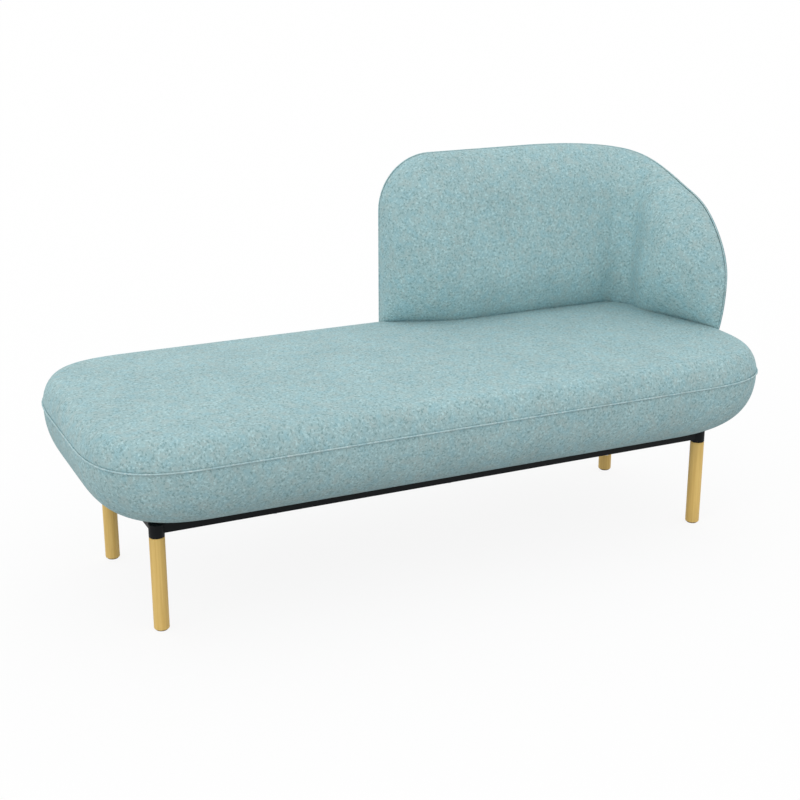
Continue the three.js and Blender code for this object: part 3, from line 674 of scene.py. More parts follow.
@dataclass
class SeatPillow:
    """The seat: a crowned top and a bowl-shaped lower half, sewn to a welt on the widest line.

    The outline's corners are squircles, and the profiles above and below the welt are squircle
    quarters too. An inset is measured in from the outline, and a rise up from the welt.
    """

    corner_radius: float = 245 * MM
    corner_power: float = 3.08
    smallest_corner: float = 24 * MM
    crown_rise: float = 53.9 * MM
    crown_reach: float = 32.3 * MM
    crown_power: float = 1.816
    crown_steps: int = 18
    crown_crowding: float = 1.15
    dome_rise: float = 12.9 * MM
    dome_shares: tuple[float, ...] = (0.14, 0.2, 0.28, 0.38, 0.5, 0.62, 0.74, 0.84, 0.91)
    bowl_reach: float = 168.3 * MM
    bowl_power: float = 2.449
    bowl_ease: float = 45 * MM
    bowl_steps: int = 26
    bowl_crowding: float = 1.1
    flat_shares: tuple[float, ...] = (0.9, 0.5, 0.15)
    cloth: float = 1.5 * MM
    piping_radius: float = 2.0 * MM
    piping_proud: float = 0.7 * MM
    piping_sides: int = 12
    seam_depth: float = 0.5 * MM
    seam_reach: float = 3.0 * MM
    gap: float = 0.4 * MM
    hem_rise: float = 12 * MM
    hem_width: float = 20 * MM
    fill: float = 0.95
    corner_steps: int = 20
    long_steps: int = 34
    short_steps: int = 8
    half_length: float = field(init=False)
    half_depth: float = field(init=False)
    welt_height: float = field(init=False)
    bowl_depth: float = field(init=False)

    def __post_init__(self) -> None:
        """Reads the seat's place from the frame."""
        low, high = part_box("seat_lower_cover")
        welt_low, welt_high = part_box("seat_welt")
        self.half_length, self.half_depth = high.x, high.y
        self.welt_height = (welt_low.z + welt_high.z) / 2
        self.bowl_depth = self.welt_height - low.z

    def ring(self, inset: float, rise: float, ease: float = 0.0) -> Ring:
        """Gives the outline drawn in by an inset, anticlockwise from above.

        Args:
            inset: How far it is drawn in.
            rise: Its height over the welt.
            ease: How much rounder its corners are than the inset makes them.

        Returns:
            Its points.
        """
        radius = max(self.corner_radius - inset, self.smallest_corner) + ease
        middle_x = self.half_length - inset - radius
        middle_y = self.half_depth - inset - radius
        points: Ring = []
        for turn in range(4):
            side_x, side_y = (1 if turn in (0, 3) else -1), (1 if turn < 2 else -1)
            for angle in quarter_turn(self.corner_steps):
                reach = radius * squircle(angle, self.corner_power)
                heading = angle + turn * RIGHT_ANGLE
                x = side_x * middle_x + reach * math.cos(heading)
                y = side_y * middle_y + reach * math.sin(heading)
                points.append(Vector((x, y, self.welt_height + rise)))
            along_x = turn % 2 == 0
            steps = self.long_steps if along_x else self.short_steps
            way = (-1 if turn < 2 else 1) * 2 * (middle_x if along_x else middle_y)
            start = points[-1]
            for step in range(1, steps):
                shift = way * step / steps
                points.append(start + Vector((shift if along_x else 0, 0 if along_x else shift, 0)))
        return points

    def ridge(self, rise: float) -> Ring:
        """Gives the outline pressed flat onto the seat's long middle line, where a skin closes up."""
        inset = self.half_depth - self.smallest_corner
        return [Vector((point.x, 0, self.welt_height + rise)) for point in self.ring(inset, rise)]

    def dome(self, inset: float) -> float:
        """Gives the slow rise of the top towards its middle."""
        return self.dome_rise * (1 - (1 - inset / self.half_depth) ** 2)

    def seam(self, rise: float) -> float:
        """Gives how far the cloth is drawn in beside the welt, at a distance above or below it."""
        return self.seam_depth * math.exp(-((rise / self.seam_reach) ** 2))

    def crown(self, share: float) -> tuple[float, float]:
        """Gives a point of the crowned edge's profile.

        Args:
            share: Its place, from the welt at 0 to the top at 1.

        Returns:
            Its inset and rise.
        """
        across, up = squircle_quarter(share, self.crown_power)
        inset = self.crown_reach * across
        rise = self.crown_rise * up + self.dome(inset)
        return inset + self.seam(rise), rise

    def bowl(self, share: float) -> tuple[float, float]:
        """Gives a point of the bowl's profile.

        Args:
            share: Its place, from the welt at 0 to the bowl's foot at 1.

        Returns:
            Its inset and rise.
        """
        across, down = squircle_quarter(share, self.bowl_power)
        drop = self.bowl_depth * down
        return self.bowl_reach * across + self.seam(drop), -drop

    def top_at(self, x: float, y: float) -> float:
        """Gives the height of the seat's top at a place on it.

        Args:
            x: The place along the seat.
            y: The place across it.

        Returns:
            The height.
        """
        out_x = max(abs(x) - (self.half_length - self.corner_radius), 0)
        out_y = max(abs(y) - (self.half_depth - self.corner_radius), 0)
        out = (out_x**self.corner_power + out_y**self.corner_power) ** (1 / self.corner_power)
        inset = max(self.corner_radius - out, 0)
        left = max(1 - inset / self.crown_reach, 0)
        angle = math.acos(left ** (self.crown_power / 2))
        rise = self.crown_rise * math.sin(angle) ** (2 / self.crown_power)
        return self.welt_height + rise + self.dome(inset)

    def mid_face(self, side: int) -> Profile:
        """Gives the flat face at the welt's level, from near the seat's middle line to the seam.

        Args:
            side: 1 for the top half and -1 for the bowl.

        Returns:
            Inset and rise of its rings.
        """
        level = side * self.gap
        inside = [(share * self.half_depth, level) for share in self.flat_shares]
        seam = [(self.seam_depth + 2 * self.cloth, level), (self.seam_depth + self.cloth / 2, 2 * level)]
        return [*inside, *seam]

    def crown_rings(self) -> list[Ring]:
        """Gives the rings of the closed top half, from its flat underside to the middle of its top.

        Returns:
            The rings.
        """
        shares = [(step / self.crown_steps) ** self.crown_crowding for step in range(1, self.crown_steps + 1)]
        edge = [self.crown(share) for share in shares]
        insets = [share * self.half_depth for share in self.dome_shares]
        dome = [(inset, self.crown_rise + self.dome(inset)) for inset in insets]
        rings = [self.ring(inset, rise) for inset, rise in (*self.mid_face(1), *edge, *dome)]
        return [self.ridge(self.gap), *rings, self.ridge(self.crown_rise + self.dome_rise)]

    def bowl_rings(self) -> list[Ring]:
        """Gives the rings of the closed lower half, with the pocket that holds the seat board.

        Returns:
            The rings.
        """
        board_low, board_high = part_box("seat_board")
        under = board_low.z - self.welt_height - self.gap
        over = board_high.z - self.welt_height + self.gap
        shares = [(step / self.bowl_steps) ** self.bowl_crowding for step in range(1, self.bowl_steps + 1)]
        skin = [self.bowl(share) for share in shares]
        eased = [self.ring(inset, rise, self.bowl_ease * inset / self.bowl_reach) for inset, rise in skin]
        hem = self.bowl_reach + self.hem_rise
        pocket = self.half_depth - board_high.y - self.gap
        inside = [
            (hem, under - self.cloth),
            (hem + self.hem_width, under - self.cloth),
            (hem + self.hem_width, under),
            (pocket, under),
            (pocket, over),
            (self.flat_shares[0] * self.half_depth, over),
        ]
        start = [self.ring(inset, rise) for inset, rise in self.mid_face(-1)]
        end = [self.ring(inset, rise) for inset, rise in inside]
        return [self.ridge(-self.gap), *start, *eased, *end, self.ridge(over)]

    def piping_rings(self) -> list[Ring]:
        """Gives the welt's rings, which run along the seat's outline."""
        radius, proud = self.piping_radius, self.piping_proud
        turn = whole_turn(self.piping_sides)
        return [self.ring(-proud - radius * math.cos(angle), radius * math.sin(angle)) for angle in turn]

    def build(self, shop: Workshop) -> None:
        """Makes the seat's pads and welt.

        Args:
            shop: Where the pieces are made.
        """
        for name, rings, half in (
            ("seat_top_pad", self.crown_rings(), "seat_upper"),
            ("seat_bowl_pad", self.bowl_rings(), "seat_lower"),
        ):
            shop.pad(name, skinned(rings, RingSkin.close_up), (f"{half}_cover", f"{half}_foam"))
        shop.piece("seat_piping", skinned(self.piping_rings(), RingSkin.join), Slot.WELT, ("seat_welt",))


# Back


@dataclass
class BackWall:
    """The upright sheet that the back is padded round. A place on it is a length along it and a height."""

    half_length: float
    half_depth: float
    corner_radius: float = 242.6 * MM
    corner_power: float = 3.94
    crease_in_x: float = 75 * MM
    crease_in_y: float = 133 * MM
    steps: int = 96
    line: list[tuple[float, Vector, Vector]] = field(init=False)

    def __post_init__(self) -> None:
        """Measures the wall's plan: its rear side, its corner and its right end."""
        self.corner_x = self.half_length - self.corner_radius
        self.corner_y = self.half_depth - self.corner_radius
        self.line = [(0.0, Vector((0, self.half_depth, 0)), Vector((0, 1, 0)))]
        power = self.corner_power - 1
        for angle in reversed(quarter_turn(self.steps)):
            reach = self.corner_radius * squircle(angle, self.corner_power)
            out_x, out_y = max(reach * math.cos(angle), 0.0), reach * math.sin(angle)
            slope = Vector((out_x**power, out_y**power, 0)).normalized()
            self.extend(Vector((self.corner_x + out_x, self.corner_y + out_y, 0)), slope)
        self.bend_start, self.bend_end = self.line[1][0], self.line[-1][0]
        side_x, side_y = self.corner_radius - self.crease_in_x, self.corner_radius - self.crease_in_y
        self.crease_along = mix(self.bend_start, self.bend_end, side_x / (side_x + side_y))
        self.extend(Vector((self.half_length, -self.half_depth, 0)), Vector((1, 0, 0)))

    def extend(self, point: Vector, normal: Vector) -> None:
        """Adds the next point of the plan."""
        along, last, _ = self.line[-1]
        self.line.append((along + (point - last).length, point, normal))

    def at(self, along: float) -> tuple[Vector, Vector]:
        """Gives a place on the wall's plan.

        Args:
            along: Its length along the wall.

        Returns:
            The place and its outward normal.
        """
        after = next(i for i in range(1, len(self.line)) if self.line[i][0] >= along)
        start, first, first_normal = self.line[after - 1]
        end, second, second_normal = self.line[after]
        share = (along - start) / (end - start)
        return first.lerp(second, share), first_normal.lerp(second_normal, share).normalized()

    def out(self, along: float) -> Vector:
        """Gives the way that the padding's thickness is measured, out towards a length along the wall.

        It is square to the straight sides. Round the corner it fans out from an inside corner's two
        sides, so that the sections of the padding never cross.

        Args:
            along: The length along the wall.

        Returns:
            The outward direction.
        """
        place, normal = self.at(along)
        share = (along - self.bend_start) / (self.bend_end - self.bend_start)
        if not 0 < share < 1:
            return normal
        crease = Vector((self.half_length - self.crease_in_x, self.half_depth - self.crease_in_y, 0))
        side_x, side_y = crease.x - self.corner_x, crease.y - self.corner_y
        walked = share * (side_x + side_y)
        inner = Vector((self.corner_x + min(walked, side_x), crease.y - max(walked - side_x, 0.0), 0))
        return (place - inner).normalized()


@dataclass
class Backrest:
    """The back: a thick pad towards the sitter and a thin one outside, sewn together at the rim."""

    seat: SeatPillow
    inset: float = 20 * MM
    straight_length: float = 459.9 * MM
    sweep_lead: float = 78.1 * MM
    top: float = 835 * MM
    top_corner: float = 127.8 * MM
    sweep_length: float = 676.7 * MM
    sweep_power: float = 2.16
    nose_height: float = 545.9 * MM
    dip: float = 7 * MM
    dip_place: float = 885 * MM
    dip_reach: float = 165 * MM
    knee: float = 6 * MM
    knee_place: float = 1020 * MM
    knee_reach: float = 95 * MM
    tuck_radius: float = 377.6 * MM
    tuck_reach: float = 150 * MM
    piping_radius: float = 1.5 * MM
    piping_sides: int = 10
    piping_gap: float = 0.1 * MM
    rim_half: float = 3.3 * MM
    pad_depth: float = 132 * MM
    arm_swell: float = 106 * MM
    arm_span: float = 220 * MM
    arm_power: float = 3.2
    top_reach: float = 102 * MM
    lip: float = 9 * MM
    lip_reach: float = 20 * MM
    swell_reach: float = 110 * MM
    belly_height: float = 90 * MM
    lean_height: float = 540 * MM
    lean_start: float = 30 * MM
    foot_round: float = 140 * MM
    crease_draw: float = 8 * MM
    arm_draw: float = 24 * MM
    crease_draw_reach: float = 150 * MM
    crease_soft: float = 60 * MM
    crease_soft_top: float = 70 * MM
    crease_soft_start: float = 120 * MM
    crease_soft_reach: float = 160 * MM
    foot_depth: float = 58 * MM
    foot_lift: float = 6 * MM
    edge_foot_round: float = 250 * MM
    edge_foot_reach: float = 200 * MM
    foot_soft: float = 150 * MM
    foot_swell_reach: float = 190 * MM
    nose_foot: float = 3 * MM
    nose_foot_start: float = 110 * MM
    nose_foot_reach: float = 170 * MM
    outer_depth: float = 3 * MM
    outer_reach: float = 25 * MM
    foot_gap: float = -2.5 * MM
    tallest_round_share: float = 0.8
    fill: float = 0.9
    corner_steps: int = 16
    top_steps: int = 12
    sweep_steps: int = 100
    round_steps: int = 12
    low_steps: int = 12
    foot_steps: int = 5
    side_steps: int = 4
    end_steps: int = 10

    def __post_init__(self) -> None:
        """Sets the wall inside the seat's outline."""
        self.wall = BackWall(self.seat.half_length - self.inset, self.seat.half_depth - self.inset)
        self.start = self.wall.corner_x - self.straight_length
        self.sweep_start = self.wall.corner_x - self.sweep_lead
        self.end = self.sweep_start + self.sweep_length
        self.seat_level = self.seat.welt_height + self.seat.crown_rise

    def point(self, along: float, height: float, depth: float) -> Vector:
        """Gives a point off the wall. The nose draws back below its foremost point.

        Args:
            along: The point's length along the wall.
            height: Its height.
            depth: How far it is from the wall towards the sitter.

        Returns:
            The point.
        """
        near_nose = max(along - (self.end - self.tuck_reach), 0) / self.tuck_reach
        below = max(self.nose_height - height, 0)
        tuck = self.tuck_radius - math.sqrt(self.tuck_radius**2 - below**2)
        along -= tuck * near_nose**2
        place, normal = self.wall.at(along)
        way = self.wall.out(along) if depth > 0 else normal
        return place - way * depth + UP * height

    def rim(self) -> Profile:
        """Gives the rim: up the left edge, along the top and down the arm's sweep.

        Returns:
            Length along the wall and height of each of its points.
        """
        corner, level = self.start + self.top_corner, self.top - self.top_corner
        places = [
            (corner - self.top_corner * math.cos(angle), level + self.top_corner * math.sin(angle))
            for angle in quarter_turn(self.corner_steps)
        ]
        for step in range(1, self.top_steps + 1):
            places.append((mix(corner, self.sweep_start, step / self.top_steps), self.top))
        for step in range(1, self.sweep_steps + 1):
            fallen, out = squircle_quarter(step / self.sweep_steps, self.sweep_power)
            along = self.sweep_start + self.sweep_length * out
            places.append((along, mix(self.top, self.nose_height, fallen) + self.sway(along)))
        return places

    def sway(self, along: float) -> float:
        """Gives how far the arm's sweep leaves its even curve: a shallow dip, then a slight knee."""
        dip = self.dip * ramp(1 - abs(along - self.dip_place) / self.dip_reach)
        return self.knee * ramp(1 - abs(along - self.knee_place) / self.knee_reach) - dip

    def rim_height(self, along: float) -> float:
        """Gives the rim's height over a place.

        Args:
            along: The place's length along the wall.

        Returns:
            The height.
        """
        left_of_corner = self.start + self.top_corner - along
        if left_of_corner > 0:
            return self.top - self.top_corner + math.sqrt(max(self.top_corner**2 - left_of_corner**2, 0))
        share = max(along - self.sweep_start, 0) / self.sweep_length
        left = max(1 - share**self.sweep_power, 0) ** (1 / self.sweep_power)
        return mix(self.nose_height, self.top, left) + self.sway(along)

    def inner_depth(self, along: float, height: float) -> float:
        """Gives the padding's depth towards the sitter: a belly over a drawn-in foot, and a rounded top.

        Args:
            along: The place's length along the wall.
            height: Its height.

        Returns:
            The depth.
        """
        rim, up = self.rim_height(along), height - self.seat_level
        over = max(up - self.belly_height, 0)
        leaned = over * over / (over + self.lean_start) / self.lean_height
        from_start, from_nose = along - self.start, max(self.end - along, 0)
        drawn = 1 - ramp(abs(along - self.wall.crease_along) / self.crease_draw_reach)
        back = self.lip * edge_share(from_start, self.lip_reach) - self.crease_draw * drawn
        back += (self.pad_depth - self.lip) * edge_share(from_start, self.swell_reach)
        arm = self.lip * edge_share(from_nose, self.lip_reach) - self.arm_draw * drawn
        arm += self.arm_swell * (1 - max(1 - from_nose / self.arm_span, 0) ** self.arm_power)
        softened = ramp((up - self.crease_soft_start) / self.crease_soft_reach)
        belly = self.cornered(along, back, arm, mix(self.crease_soft, self.crease_soft_top, softened))
        top_round = min(self.top_reach, self.tallest_round_share * (rim - self.seat_level))
        belly *= edge_share(rim - height, top_round) * (1 - leaned)
        inside = ramp(min(from_start, from_nose) / self.edge_foot_reach)
        foot_round = mix(self.edge_foot_round, self.foot_round, inside)
        filled = edge_share(up + self.foot_lift * inside, foot_round)
        return self.rim_half + mix(self.foot_plan(along), belly, filled)

    def foot_plan(self, along: float) -> float:
        """Gives the padding's depth where it meets the seat: thin at the left edge, and tapering to the nose.

        Args:
            along: The place's length along the wall.

        Returns:
            The depth.
        """
        from_start, from_nose = max(along - self.start, 0), max(self.end - along, 0)
        swell = math.sin(min(from_start / self.foot_swell_reach, 1) * RIGHT_ANGLE) ** 2
        back = self.lip * edge_share(from_start, self.lip_reach) + (self.foot_depth - self.lip) * swell
        arm = self.nose_foot * edge_share(from_nose, self.lip_reach)
        tapered = ramp((from_nose - self.nose_foot_start) / self.nose_foot_reach)
        arm += (self.foot_depth - self.nose_foot) * tapered
        return self.cornered(along, back, arm, self.foot_soft)

    def cornered(self, along: float, back: float, arm: float, soft: float) -> float:
        """Gives the depth where the back's face and the arm's meet in an inside corner.

        Args:
            along: The place's length along the wall.
            back: Depth of the padding on the wall's rear side.
            arm: Depth of the padding on its right end.
            soft: How widely the crease between them is filled.

        Returns:
            The depth.
        """
        place, _ = self.wall.at(along)
        way = self.wall.out(along)
        to_back = (place.y - self.wall.half_depth + back) / max(way.y, MM)
        to_arm = (place.x - self.wall.half_length + arm) / max(way.x, MM)
        near = max(1 - abs(to_back - to_arm) / soft, 0)
        return max(to_back, to_arm) + near * near * soft / 4

    def outer_depth_at(self, along: float, height: float) -> float:
        """Gives the depth of the outer side of the padding, which is shallow and even."""
        inside = min(along - self.start, self.end - along, self.rim_height(along) - height)
        return -(self.rim_half + self.outer_depth * edge_share(inside, self.outer_reach))

    def foot(self, along: float, depth: float) -> float:
        """Gives the height of the seat under a place along the wall, at a depth."""
        guess = self.point(along, self.seat_level, depth)
        return self.seat.top_at(guess.x, guess.y) + self.foot_gap

    def column(self, along: float, height: float, depth_at: Depth, seam: float) -> Ring:
        """Gives one closed upright section of a pad: its face, its foot and its side at the seam.

        Args:
            along: The section's length along the wall.
            height: The rim's height there.
            depth_at: Depth of the pad's face at a place.
            seam: Depth of the seam's side.

        Returns:
            The section's points.
        """
        face_foot, seam_foot = self.foot(along, depth_at(along, self.seat_level)), self.foot(along, seam)
        span = min(self.top_reach, self.tallest_round_share * (height - face_foot))
        heights = [height - span * (1 - math.cos(angle)) for angle in quarter_turn(self.round_steps)]
        low = heights[-1]
        heights += [mix(low, face_foot, math.sin(angle)) for angle in quarter_turn(self.low_steps, 1)]
        face = [self.point(along, level, depth_at(along, level)) for level in heights]
        deepest = depth_at(along, face_foot)
        depths = [mix(deepest, seam, step / self.foot_steps) for step in range(1, self.foot_steps)]
        foot = [self.point(along, self.foot(along, depth), depth) for depth in depths]
        levels = [mix(seam_foot, height, step / self.side_steps) for step in range(self.side_steps + 1)]
        return [*face, *foot, *(self.point(along, level, seam) for level in levels)]

    def pad_mesh(self, depth_at: Depth, seam: float) -> Mesh:
        """Draws a closed pad section by section along the wall."""
        return skinned([self.column(along, height, depth_at, seam) for along, height in self.rim()])

    def piping_mesh(self) -> Mesh:
        """Draws the rim's welt from the seat at the left edge to the seat at the nose.

        Returns:
            The welt's mesh.
        """
        rim = self.rim()
        low = self.foot(self.start, 0.0)
        (left, left_height), (nose, nose_height) = rim[0], rim[-1]
        shares = [step / self.end_steps for step in range(self.end_steps + 1)]
        rising = [(left, mix(low, left_height, share)) for share in shares[:-1]]
        falling = [(nose, mix(nose_height, low, share)) for share in shares[1:]]
        line = [*rising, *rim, *falling]
        path = [self.point(along, height, 0.0) for along, height in line]
        turn = whole_turn(self.piping_sides)
        rings = []
        for i, place in enumerate(path):
            heading = (path[min(i + 1, len(path) - 1)] - path[max(i - 1, 0)]).normalized()
            _, outward = self.wall.at(line[i][0])
            across = heading.cross(outward).normalized()
            square = across.cross(heading).normalized()
            ways = [across * math.cos(angle) + square * math.sin(angle) for angle in turn]
            rings.append([place + way * self.piping_radius for way in ways])
        return skinned(rings)

    def build(self, shop: Workshop) -> None:
        """Makes the back's pads and welt.

        Args:
            shop: Where the pieces are made.
        """
        for side, depth_at, way in (("inner", self.inner_depth, 1), ("outer", self.outer_depth_at, -1)):
            mesh = self.pad_mesh(depth_at, way * (self.piping_radius + self.piping_gap))
            shop.pad(f"backrest_{side}_pad", mesh, (f"back_{side}_cover", f"back_{side}_foam"))
        shop.piece("backrest_piping", self.piping_mesh(), Slot.WELT, ("back_welt",))


# Frame and legs


@dataclass
class Underframe:
    """The steel frame, its corner posts, the wooden legs and what fastens and shoes them."""

    tube_edge: float = 1.6 * MM
    leg_edge: float = 2.6 * MM
    post_edge: float = 0.6 * MM
    flat_angle: float = math.radians(0.1)
    straight: float = 0.999
    near: float = 0.1 * MM
    bolts: int = 6
    bolt_sides: int = 24
    shank_radius: float = 3 * MM
    head_height: float = 3.5 * MM
    head_edge: float = 0.6 * MM
    button_share: float = 0.82
    button_rise: float = 0.5 * MM
    button_flat: float = 0.6
    socket_half: float = 2 * MM
    socket_depth: float = 2.6 * MM

    def build(self, shop: Workshop) -> None:
        """Makes every piece of the frame.

        Args:
            shop: Where the pieces are made.
        """
        for corner in Corner:
            self.leg(shop, corner.value)
        sides = ("front_rail", "rear_rail", "left_rail", "right_rail")
        for rail in (*sides, "cross_rail_left", "cross_rail_right"):
            self.rail(shop, rail)
        for number in range(1, self.bolts + 1):
            self.bolt(shop, number)

    def leg(self, shop: Workshop, corner: str) -> None:
        """Makes one corner: its post, its leg and its glide.

        Args:
            shop: Where the pieces are made.
            corner: The corner's words.
        """
        for name, node, edge, slot in (
            ("corner_post", "post", self.post_edge, Slot.BLACK_STEEL),
            ("wooden_leg", "leg", self.leg_edge, Slot.LEG_WOOD),
            ("foot_glide", "glide", self.post_edge, Slot.GLIDE),
        ):
            low, high, centre = upright(f"{node}_{corner}")
            profile = rounded((high.x - low.x) / 2, low.z, high.z, edge)
            shop.piece(f"{name}_{corner}", turned(profile, centre), slot, (f"{node}_{corner}",))
        shop.keep(f"leg_stud_{corner}", Slot.ZINC)

    def rail(self, shop: Workshop, node: str) -> None:
        """Makes one rail of square tube, with its long edges rounded, from the solid's own shape.

        Args:
            shop: Where the pieces are made.
            node: The solid.
        """
        mesh = bmesh.new()
        mesh.from_mesh(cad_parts[node].data)
        bmesh.ops.remove_doubles(mesh, verts=mesh.verts, dist=WELD)
        bmesh.ops.dissolve_limit(mesh, angle_limit=self.flat_angle, verts=mesh.verts, edges=mesh.edges)
        low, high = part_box(node)
        size, middle = high - low, (low + high) / 2
        lengthwise = Vector((1, 0, 0)) if size.x > size.y else Vector((0, 1, 0))
        across, half = lengthwise.cross(UP), size.z / 2

        def outer(edge: bmesh.types.BMEdge) -> bool:
            """Tells if an edge is one of the tube's long outer ones."""
            first, second = (vert.co for vert in edge.verts)
            off = first - middle
            at_corner = all(abs(abs(reach) - half) < self.near for reach in (off.dot(across), off.z))
            return at_corner and abs((second - first).normalized().dot(lengthwise)) > self.straight

        edges = [edge for edge in mesh.edges if outer(edge)]
        cut = {"affect": "EDGES", "offset": self.tube_edge, "segments": 3}
        bmesh.ops.bevel(mesh, geom=edges, profile=0.5, material=-1, **cut)
        bmesh.ops.dissolve_degenerate(mesh, dist=WELD, edges=mesh.edges)
        shop.piece(f"steel_{node}", mesh, Slot.BLACK_STEEL, (node,), crease=30)

    def bolt(self, shop: Workshop, number: int) -> None:
        """Makes one bolt under a long rail: a button head with a hexagon socket, and its shank.

        Args:
            shop: Where the pieces are made.
            number: The bolt's number.
        """
        node = f"seat_bolt_{number}"
        low, high, centre = upright(node)
        head, foot, top = (high.x - low.x) / 2, low.z, low.z + self.head_height
        profile = [
            (self.shank_radius, high.z, 0),
            (self.shank_radius, top, 0),
            (head, top, 0),
            (head, top - self.head_edge, 0),
            (self.button_share * head, foot + self.button_rise, 0),
            (self.button_flat * head, foot, 0),
            (self.socket_half, foot, 6),
            (self.socket_half, foot + self.socket_depth, 6),
        ]
        rings = [level_ring(centre, self.bolt_sides, *place) for place in profile]
        shop.piece(f"machine_bolt_{number}", skinned(rings), Slot.ZINC, (node,))


# Underside


@dataclass
class DustCover:
    """The black lining under the seat board and the staples that hold it."""

    seat: SeatPillow
    sag: float = 2.2 * MM
    thickness: float = 0.5 * MM
    ring_shares: tuple[float, ...] = (0.0, 0.04, 0.1, 0.25, 0.45, 0.65, 0.85)
    ring_reach: float = 0.9
    staple_width: float = 10 * MM
    staple_wire: float = 0.7 * MM
    staple_edge: float = 0.14 * MM
    staple_inset: float = 7 * MM
    staple_every: int = 4

    def build(self, shop: Workshop) -> None:
        """Makes the lining and its staples.

        Args:
            shop: Where the pieces are made.
        """
        _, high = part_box("dust_cover")
        inset = self.seat.half_depth - high.y
        rise = high.z - self.seat.welt_height
        span = self.seat.half_depth - inset
        reach = span * self.ring_reach

        def side(level: float) -> list[Ring]:
            """Gives the rings of one side, from the edge to the middle line, at its edge's level."""
            rings = [
                self.seat.ring(inset + share * reach, level - self.sag * edge_share(share, 1.0))
                for share in self.ring_shares
            ]
            return [*rings, self.seat.ridge(level - self.sag)]

        skin = skinned([*side(rise - self.thickness)[::-1], *side(rise)], RingSkin.close_up)
        lining = shop.piece("underside_lining", skin, Slot.LINING, ("dust_cover",))
        area = level_area(self.seat.ring(inset, rise))
        self.staples(shop, inset + self.staple_inset, high.z - self.thickness - self.staple_wire / 2)

    def staples(self, shop: Workshop, inset: float, level: float) -> None:
        """Makes the staples round the lining's edge, as one piece.

        Args:
            shop: Where the piece is made.
            inset: How far they are from the seat's outline.
            level: Height of their middle.
        """
        mesh = bmesh.new()
        line = self.seat.ring(inset, 0.0)
        cut = {"affect": "EDGES", "offset": self.staple_edge, "segments": 1}
        for i in range(0, len(line), self.staple_every):
            heading = (line[(i + 1) % len(line)] - line[i - 1]).normalized()
            across, middle = UP.cross(heading), Vector((line[i].x, line[i].y, level))
            made = bmesh.ops.create_cube(mesh, size=1.0)["verts"]
            for vert in made:
                along, off, up = vert.co
                thick = (across * off + UP * up) * self.staple_wire
                vert.co = middle + heading * along * self.staple_width + thick
            edges = list({edge for vert in made for edge in vert.link_edges})
            bmesh.ops.bevel(mesh, geom=edges, profile=0.5, material=-1, **cut)
        shop.piece("lining_staples", mesh, Slot.ZINC)


# Pieces that nothing shows


def keep_hidden_solids(shop: Workshop) -> None:
    """Dresses the solids that stay inside the upholstery.

    Args:
        shop: Where they are dressed.
    """
    for board in ("seat_board", "back_board"):
        shop.keep(board, Slot.PLYWOOD)
    for place in ("left", "middle", "arm"):
        shop.keep(f"back_bracket_{place}", Slot.BLACK_STEEL)
        for number in (1, 2):
            for fastener in ("bolt", "screw"):
                shop.keep(f"bracket_{fastener}_{place}_{number}", Slot.ZINC)


# Studio


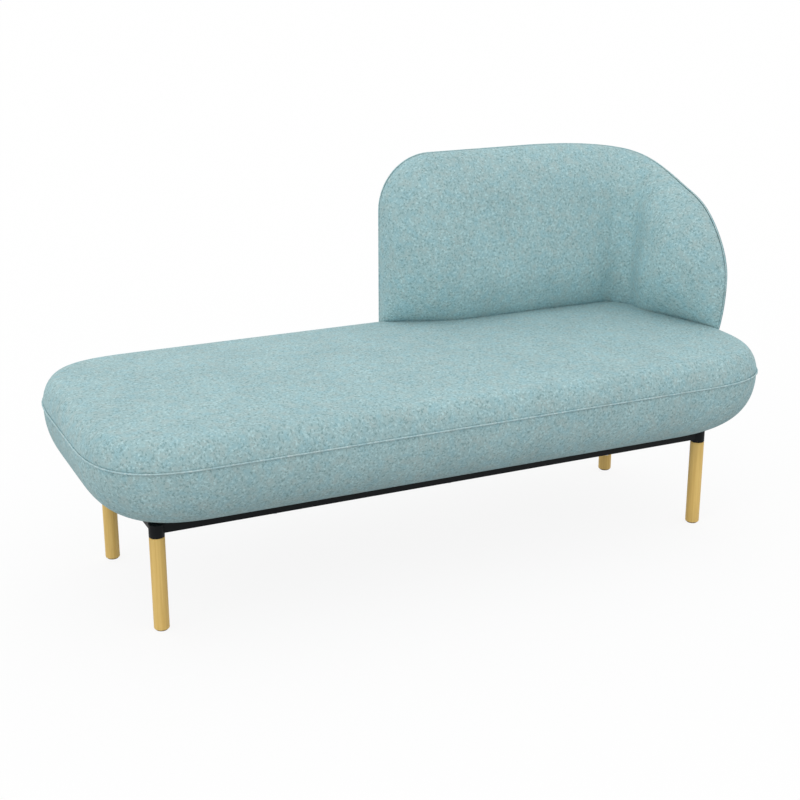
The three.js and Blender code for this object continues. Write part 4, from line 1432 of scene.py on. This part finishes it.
@dataclass
class Studio:
    """The floor, the light and the camera. Angles are in degrees."""

    camera_place: tuple[float, float, float] = (-1.3689, -2.8582, 1.3975)
    camera_tilt: float = 71.52
    camera_turn: float = -25.15
    camera_lens: float = 67.07
    floor_half: float = 45.0
    floor_bounce: float = 0.5
    floor_paper: float = 0.965
    shadow_share: float = 0.12
    sky: float = 0.99
    key_strength: float = 0.33
    key_spread: float = 38.0
    key_turn: float = 205.0
    key_rise: float = 16.0
    key_distance: float = 4.0

    def build(self) -> None:
        """Sets up the whole studio."""
        for part in (self.floor, self.world, self.key, self.camera):
            part()
        bpy.context.scene.view_settings.view_transform = "Standard"

    def seen(self, graph: Graph) -> Socket:
        """Tells rays from the camera, and rays that metal or glass reflects, from the others.

        Args:
            graph: The nodes of the material or world that needs to know.

        Returns:
            1 for such rays and 0 for others.
        """
        path = graph.add("ShaderNodeLightPath").outputs
        seen = graph.maths("MAXIMUM", path["Is Camera Ray"], path["Is Glossy Ray"])
        return graph.maths("MAXIMUM", seen, path["Is Transmission Ray"])

    def floor(self) -> None:
        """Lays the floor, which shows white with the object's shadow and bounces less light than that."""
        mesh = bmesh.new()
        bmesh.ops.create_grid(mesh, x_segments=2, y_segments=2, size=self.floor_half)
        floor = finished("studio_floor", mesh)
        made = bpy.data.materials.new("studio_floor")
        graph = Graph.fresh(made)
        bounce, paper = (
            graph.add("ShaderNodeBsdfDiffuse", {"Color": (tone, tone, tone, 1)}).outputs[0]
            for tone in (self.floor_bounce, self.floor_paper)
        )
        glow = graph.add("ShaderNodeEmission").outputs[0]
        shown = graph.add("ShaderNodeMixShader", {0: self.shadow_share, 1: glow, 2: paper}).outputs[0]
        mixed = graph.add("ShaderNodeMixShader", {0: self.seen(graph), 1: bounce, 2: shown}).outputs[0]
        graph.add("ShaderNodeOutputMaterial", {"Surface": mixed})
        floor.data.materials.append(made)

    def world(self) -> None:
        """Fills the room with plain even light, and shows it white."""
        world = bpy.data.worlds.new("studio")
        bpy.context.scene.world = world
        graph = Graph.fresh(world)
        strength = graph.ranged(self.seen(graph), (0.0, 1.0), (self.sky, 1.0))
        light = graph.add("ShaderNodeBackground", {"Color": (1, 1, 1, 1), "Strength": strength})
        graph.add("ShaderNodeOutputWorld", {"Surface": light.outputs[0]})

    def key(self) -> None:
        """Adds a weak, broad light from the left, which models the padding."""
        data = bpy.data.lights.new("key_light", "SUN")
        data.energy = self.key_strength
        data.angle = math.radians(self.key_spread)
        lamp = placed("key_light", data)
        turn, rise = math.radians(self.key_turn), math.radians(self.key_rise)
        place = Vector((math.cos(turn) * math.cos(rise), math.sin(turn) * math.cos(rise), math.sin(rise)))
        lamp.location = self.key_distance * place
        lamp.rotation_euler = place.to_track_quat("Z", "Y").to_euler()

    def camera(self) -> None:
        """Sets the camera at the photograph's viewing angle."""
        data = bpy.data.cameras.new("studio_camera")
        data.lens = self.camera_lens
        camera = placed("studio_camera", data)
        camera.location = self.camera_place
        camera.rotation_euler = (math.radians(self.camera_tilt), 0, math.radians(self.camera_turn))
        bpy.context.scene.camera = camera


def main() -> None:
    """Builds the studio and the chaise, piece by piece."""
    logging.basicConfig(level=logging.INFO, format="%(name)s: %(message)s")
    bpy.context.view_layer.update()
    Studio().build()
    shop = Workshop(Wardrobe())
    seat = SeatPillow()
    for part in (seat, Backrest(seat), Underframe(), DustCover(seat)):
        part.build(shop)
    keep_hidden_solids(shop)


if __name__ == "__main__":
    main()
